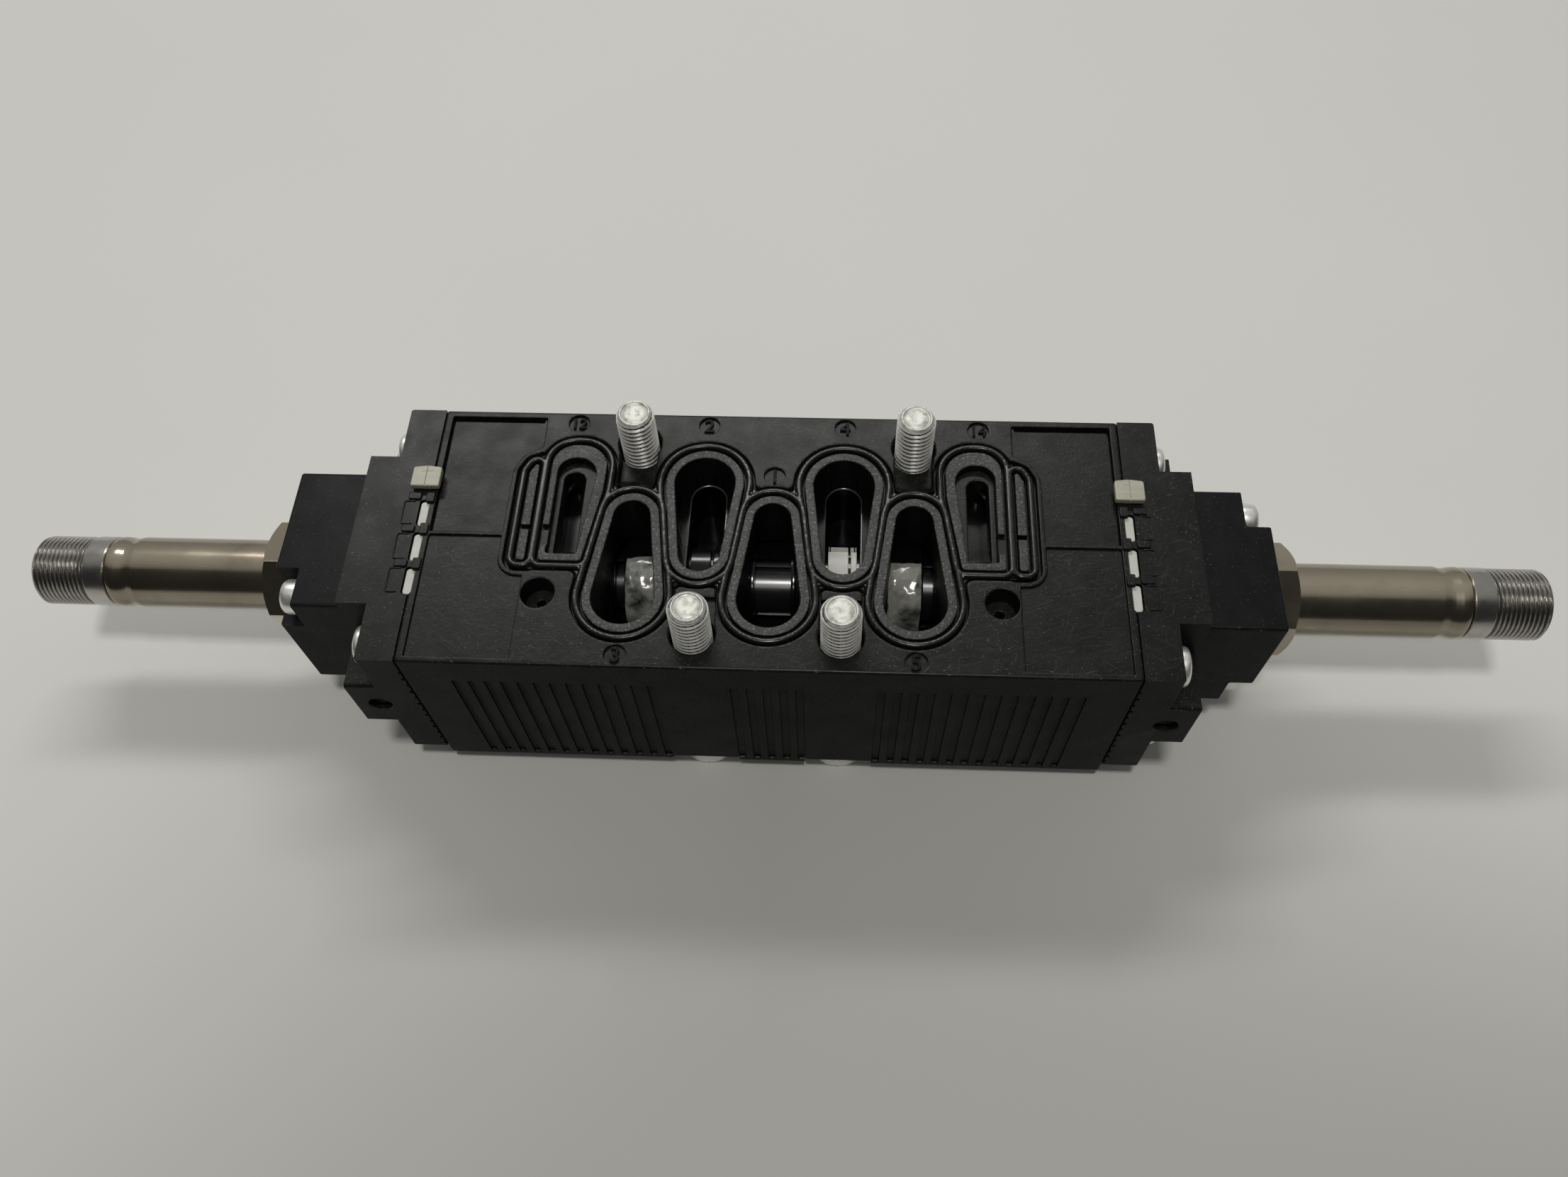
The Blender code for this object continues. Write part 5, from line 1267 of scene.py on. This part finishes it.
def build_tube(name, side):
    tube_low, tube_high = box("armature_tube_right")
    tube_r = (tube_high.y - tube_low.y) / 2
    nut_low, nut_high = box("tube_nut_right")
    core_low, core_high = box("fixed_core_right")
    end = tube_high.x
    face, back = nut_high.x, PILOT_OUT_X + GAP
    outline = [(v, AXIS_Z + u) for u, v in hexagon(NUT_ACROSS, math.radians(NUT_TURN[name]), 0.25)]
    nut = extruded("nut_%s_nickel" % name, outline, *sorted((side * back, side * face)), axis="x")
    shape = lathe("chamfer", ((0, face), (6.55, face, 0.15), (7.6, face - 0.62),
                              (7.6, PILOT_OUT_X + 0.6), (7.1, back), (0, back)), 96, side)
    combine(nut, shape, operation="INTERSECT")
    combine(nut, lathe("spigot", stepped(face - 1, (6.2, nut_low.x)), 96, side),
            operation="UNION")
    combine(nut, drill(side * (nut_low.x - 1), side * (face + 1), 0, AXIS_Z, tube_r + 0.15, 96))
    piece(nut, nickel, ROOT, ["tube_nut_" + name])
    inner = tube_r - 0.6
    tube = lathe("tube_%s_nickel" % name,
                 ((inner + 0.1, end), (tube_r - 0.14, end, 0.3), (tube_r, end - 0.7, 0.6),
                  (tube_r - 0.04, end - 1.35, 0.6), (tube_r - 0.2, end - 2.3, 0.6),
                  (tube_r - 0.2, end - 2.8, 0.6), (tube_r, end - 3.7, 0.8), (tube_r, tube_low.x),
                  (inner, tube_low.x), (inner, end - 0.2)), 112, side)
    piece(tube, tube_nickel_painted_bands, ROOT, ["armature_tube_" + name])
    thread_x = core_high.x - CORE_THREAD
    shank = [(3.7, core_low.x), (3.85, core_low.x + 0.15), (3.9, core_low.x + 0.4),
             (3.9, end + 0.059), (4.55, end + 0.06), (4.72, end + 0.16), (4.75, end + 0.3),
             (4.75, thread_x - 0.35), (4.6, thread_x - 0.12), (4.3, thread_x - 0.02)]
    core = threaded("core_%s_steel" % name, CORE_R, pitch=0.6, depth=0.34, low=thread_x,
                    high=core_high.x, sides=96, steps=20, chamfer=(0.3, 0.45), dimple=0.1,
                    shank=shank)
    # The core's thread valleys get painted shade below a 0.17 mm crest band.
    finish_thread(core, CORE_R, thread_x, 0.17, core_high.x - 0.05,
                  (core_steel, core_steel, core_valley_shade))
    move(core, (0.0, 0.0, AXIS_Z), rotation(90 * side, "Y"))
    piece(core, None, ROOT, ["fixed_core_" + name])


# ---------------------------------------------------------- spool and cages
CAGE_R, CAGE_IN_R, CAGE_HALF = 6.2, 4.3, 3.5
CAGE_WAIST = 4.95
SPOOL_R = 3.9


def cage_tube(name, x, bands):
    """A cage that is full size only over the given bands, measured from its middle."""
    end = [(CAGE_WAIST, CAGE_HALF - 0.5), (CAGE_R, CAGE_HALF - 0.5, 0.1),
           (CAGE_R, CAGE_HALF, 0.1), (CAGE_IN_R, CAGE_HALF)]
    profile = other_half(end)
    for low, high in bands:
        profile += [(CAGE_WAIST, low), (CAGE_R, low, 0.12), (CAGE_R, high, 0.12),
                    (CAGE_WAIST, high)]
    return lathe(name, profile + end, 128, shift=x)


def build_cages():
    for number, side in (("1", 0), ("2", -1), ("4", 1), ("3", -1), ("5", 1)):
        node = "seal_cage_" + number
        x = middle(node).x
        style, bands = "gloss", ((-2.95, 2.95),)
        if number == "1":
            tool = block("window", (x - 2.38, -7.5, AXIS_Z - 2.5), (x + 2.38, 0.6, FACE_Z),
                         corner=0.2, axis="y")
        elif number in "24":
            style, bands = "ring", ((-1.86, 0.8), (1.12, 1.88))
            tool = block("window", (x - 1.86, 2.2, AXIS_Z + 0.5), (x + 1.88, 7.5, FACE_Z),
                         corner=0.3, axis="y")
        else:
            bands = (sorted((side * 14.95 - x, side * 19.4 - x)),)
            tool = side_block("window", side, (19.6, 20.9), (-7.5, 1.0), (AXIS_Z - 3, FACE_Z))
        cage = cage_tube("cage_%s_%s" % (number, style), x, bands)
        combine(cage, tool)
        bevel(cage, 0.07, 2, 50)
        white = number == "4"
        set_materials(cage, white_plastic if white else gloss_plastic, gloss_plastic)
        for face in cage.data.polygons:
            at = face.center / MM
            deep = math.hypot(at.y, at.z - AXIS_Z) < 5.4
            face.material_index = int(deep or not -1.95 < at.x - x < 1.95)
        piece(cage, None, ROOT, [node])


def build_spool():
    low, high = box("spool")
    half = (high.x - low.x) / 2
    steps = [(0, -half), (3.0, -half, 0.3), (3.0, -31.5), (SPOOL_R, -31.3, 0.2)]
    for place in (-20.7, -11.7, 6.3, 15.3):
        steps += [(SPOOL_R, place, 0.3), (3.25, place + 0.6, 0.3), (3.25, place + 4.6, 0.3),
                  (SPOOL_R, place + 5.2, 0.3)]
    steps += [(SPOOL_R, 31.3, 0.2), (3.0, 31.5), (3.0, half, 0.3), (0, half)]
    spool = lathe("spool_black", steps, 112, shift=(low.x + high.x) / 2)
    piece(spool, anodised, "spool_set", ["spool"])


def build_grease(name, side):
    """Grease left on the outer cages, thick in places and with a ragged edge."""
    mesh = bmesh.new()
    across, around = 44, 76
    outer, inner = [], []
    for i in range(across + 1):
        rows = ([], [])
        for j in range(around + 1):
            u, v = i / across, j / around
            x = 14.98 + 4.34 * u
            angle = math.radians(-6 + 100 * v)
            place = Vector((x * 0.55 + side * 3, angle * 3.1, 0.0))
            lump = 0.55 + 0.6 * noise.noise(place * 0.6) + 0.18 * noise.noise(place * 1.9)
            fade = min(1.0, 6 * min(u, 1 - u) + 0.1, 4 * min(v, 1 - v) + 0.1)
            radius = CAGE_R - 0.04 + max(0.0, lump) * 0.45 * fade
            for r, row in zip((radius, CAGE_R - 0.2), rows):
                y, z = -r * math.sin(angle), AXIS_Z + r * math.cos(angle)
                row.append(mesh.verts.new((side * x, y, z)))
        outer.append(rows[0])
        inner.append(rows[1])
    for rows in (outer, inner):
        for a, b in zip(rows, rows[1:]):
            for j in range(around):
                mesh.faces.new((a[j], a[j + 1], b[j + 1], b[j]))
    edge = (list(zip(outer[0], inner[0])) + [(a[-1], b[-1]) for a, b in zip(outer, inner)]
            + list(zip(outer[-1], inner[-1]))[:0:-1]
            + [(a[0], b[0]) for a, b in zip(outer, inner)][::-1])
    edge = list(dict.fromkeys(edge))
    for (a, b), (c, d) in zip(edge, edge[1:] + edge[:1]):
        mesh.faces.new((a, b, d, c))
    piece(bmesh_object("grease_" + name, mesh), grease, ROOT, sharp=80)


# -------------------------------------------------------------- port numbers
DIGIT_SIZE = {1: 2.85, 2: 2.25}


def build_numbers():
    for text, x, y in NUMBERS:
        curve = bpy.data.curves.new("number_" + text, "FONT")
        curve.body = text
        curve.size = DIGIT_SIZE[len(text)] * MM
        curve.offset = 0.02 * MM
        curve.align_x, curve.align_y = "CENTER", "CENTER"
        curve.extrude = 0.15 * MM
        curve.bevel_depth = 0.02 * MM
        curve.resolution_u = 4
        item = link("port_number_curve", curve)
        item.location = Vector((x, y - 0.05, FACE_Z - 0.2)) * MM
        bpy.context.view_layer.update()
        graph = bpy.context.evaluated_depsgraph_get()
        data = bpy.data.meshes.new_from_object(item.evaluated_get(graph))
        data.transform(item.matrix_world)
        bpy.data.objects.remove(item)
        piece(link("port_number_" + text, data), side_plastic, ROOT)


# -------------------------------------------------------------------- stage
def build_stage():
    scene = bpy.context.scene
    scene.view_settings.view_transform = "Standard"
    camera_data = bpy.data.cameras.new("camera")
    camera_data.sensor_width = 36
    camera_data.lens = 28.733
    camera_data.clip_start = 0.01
    camera = link("camera", camera_data)
    camera.location = (0.008399, -0.083723, 0.164152)
    camera.rotation_euler = [math.radians(angle) for angle in (29.773, 1.426, 2.393)]
    scene.camera = camera

    paper = surface("paper", (0.70, 0.70, 0.672), (0.8, 0.05, 300.0), specular=0.15,
                    tint=(0.012, 10.0), bumps=((40.0, 0.1, 0.3), (1500.0, 0.1, 0.01)))
    mesh = bmesh.new()
    bmesh.ops.create_grid(mesh, x_segments=1, y_segments=1, size=3000)
    floor = bmesh_object("floor", mesh)
    # The floor's colour carries painted shade, darker toward the camera.
    floor.data.materials.append(fade_colour(paper, paper_painted_shade, -0.075, 0.06, 0.62, 1.0))

    def area(name, place, size, size_y, power, colour):
        data = bpy.data.lights.new(name, "AREA")
        data.shape = "RECTANGLE"
        data.size, data.size_y = size, size_y
        data.energy = power
        data.color = colour
        lamp = link(name, data)
        lamp.location = place
        lamp.rotation_euler = (-Vector(place)).to_track_quat("-Z", "Y").to_euler()

    area("far_lamp", (-0.10, 0.485, 0.635), 0.55, 0.075, 2.2, (1.0, 0.995, 0.97))
    area("top_lamp", (0.0, -0.16, 0.78), 0.08, 0.08, 1.9, (1.0, 0.985, 0.95))
    area("near_lamp", (0.02, -0.37, 0.71), 0.09, 0.05, 0.35, (1.0, 0.985, 0.95))

    world = bpy.data.worlds.new("studio")
    scene.world = world
    world.use_nodes = True
    tree = world.node_tree
    split = add(tree, "SeparateXYZ", {"Vector": add(tree, "TexCoord", {})["Generated"]})
    # How far a direction leans away from the dark side, where the photographer stood
    inputs = {0: split["Z"], 1: 0.75, 2: split["Y"]}
    lean = add(tree, "Math", inputs, operation="MULTIPLY_ADD")["Value"]
    stops = ((0.0, 0.03), (0.29, 0.035), (0.405, 0.17), (0.6, 0.25), (0.85, 0.30), (1.0, 0.32))
    sky = ramp(tree, lean, [(at, (shade, shade * 0.99, shade * 0.95)) for at, shade in stops])
    feed(tree.nodes["Background"], {"Color": sky})


# Materials of the CAD nodes that stay, by the start of their names
INSIDE = {"pilot_gasket": black_rubber, "pilot_seat": brass, "plunger_spring": spring_steel,
          "plunger": core_steel, "spool_seal": black_rubber, "piston_seal": black_rubber,
          "piston": white_plastic, "end_bush": gloss_plastic}


def finish_inside():
    """Gives the CAD nodes that stay their materials."""
    for name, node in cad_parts.items():
        if node.hide_render:
            continue
        for start, material in INSIDE.items():
            if name.startswith(start):
                set_materials(node, material)
                break


body = build_body()
finish_body(body)
piece(body, None, ROOT, ["main_body"])
piece(build_gasket(), black_rubber, ROOT, ["port_gasket"])
build_numbers()
build_cages()
build_spool()
for name, side in SIDES:
    build_grease(name, side)
build_mounting_screws()
for build in (build_cap, build_joint_details, build_plate, build_key, build_override,
              build_pilot, build_tube, build_end_screws):
    for name, side in SIDES:
        build(name, side)
finish_inside()
build_stage()
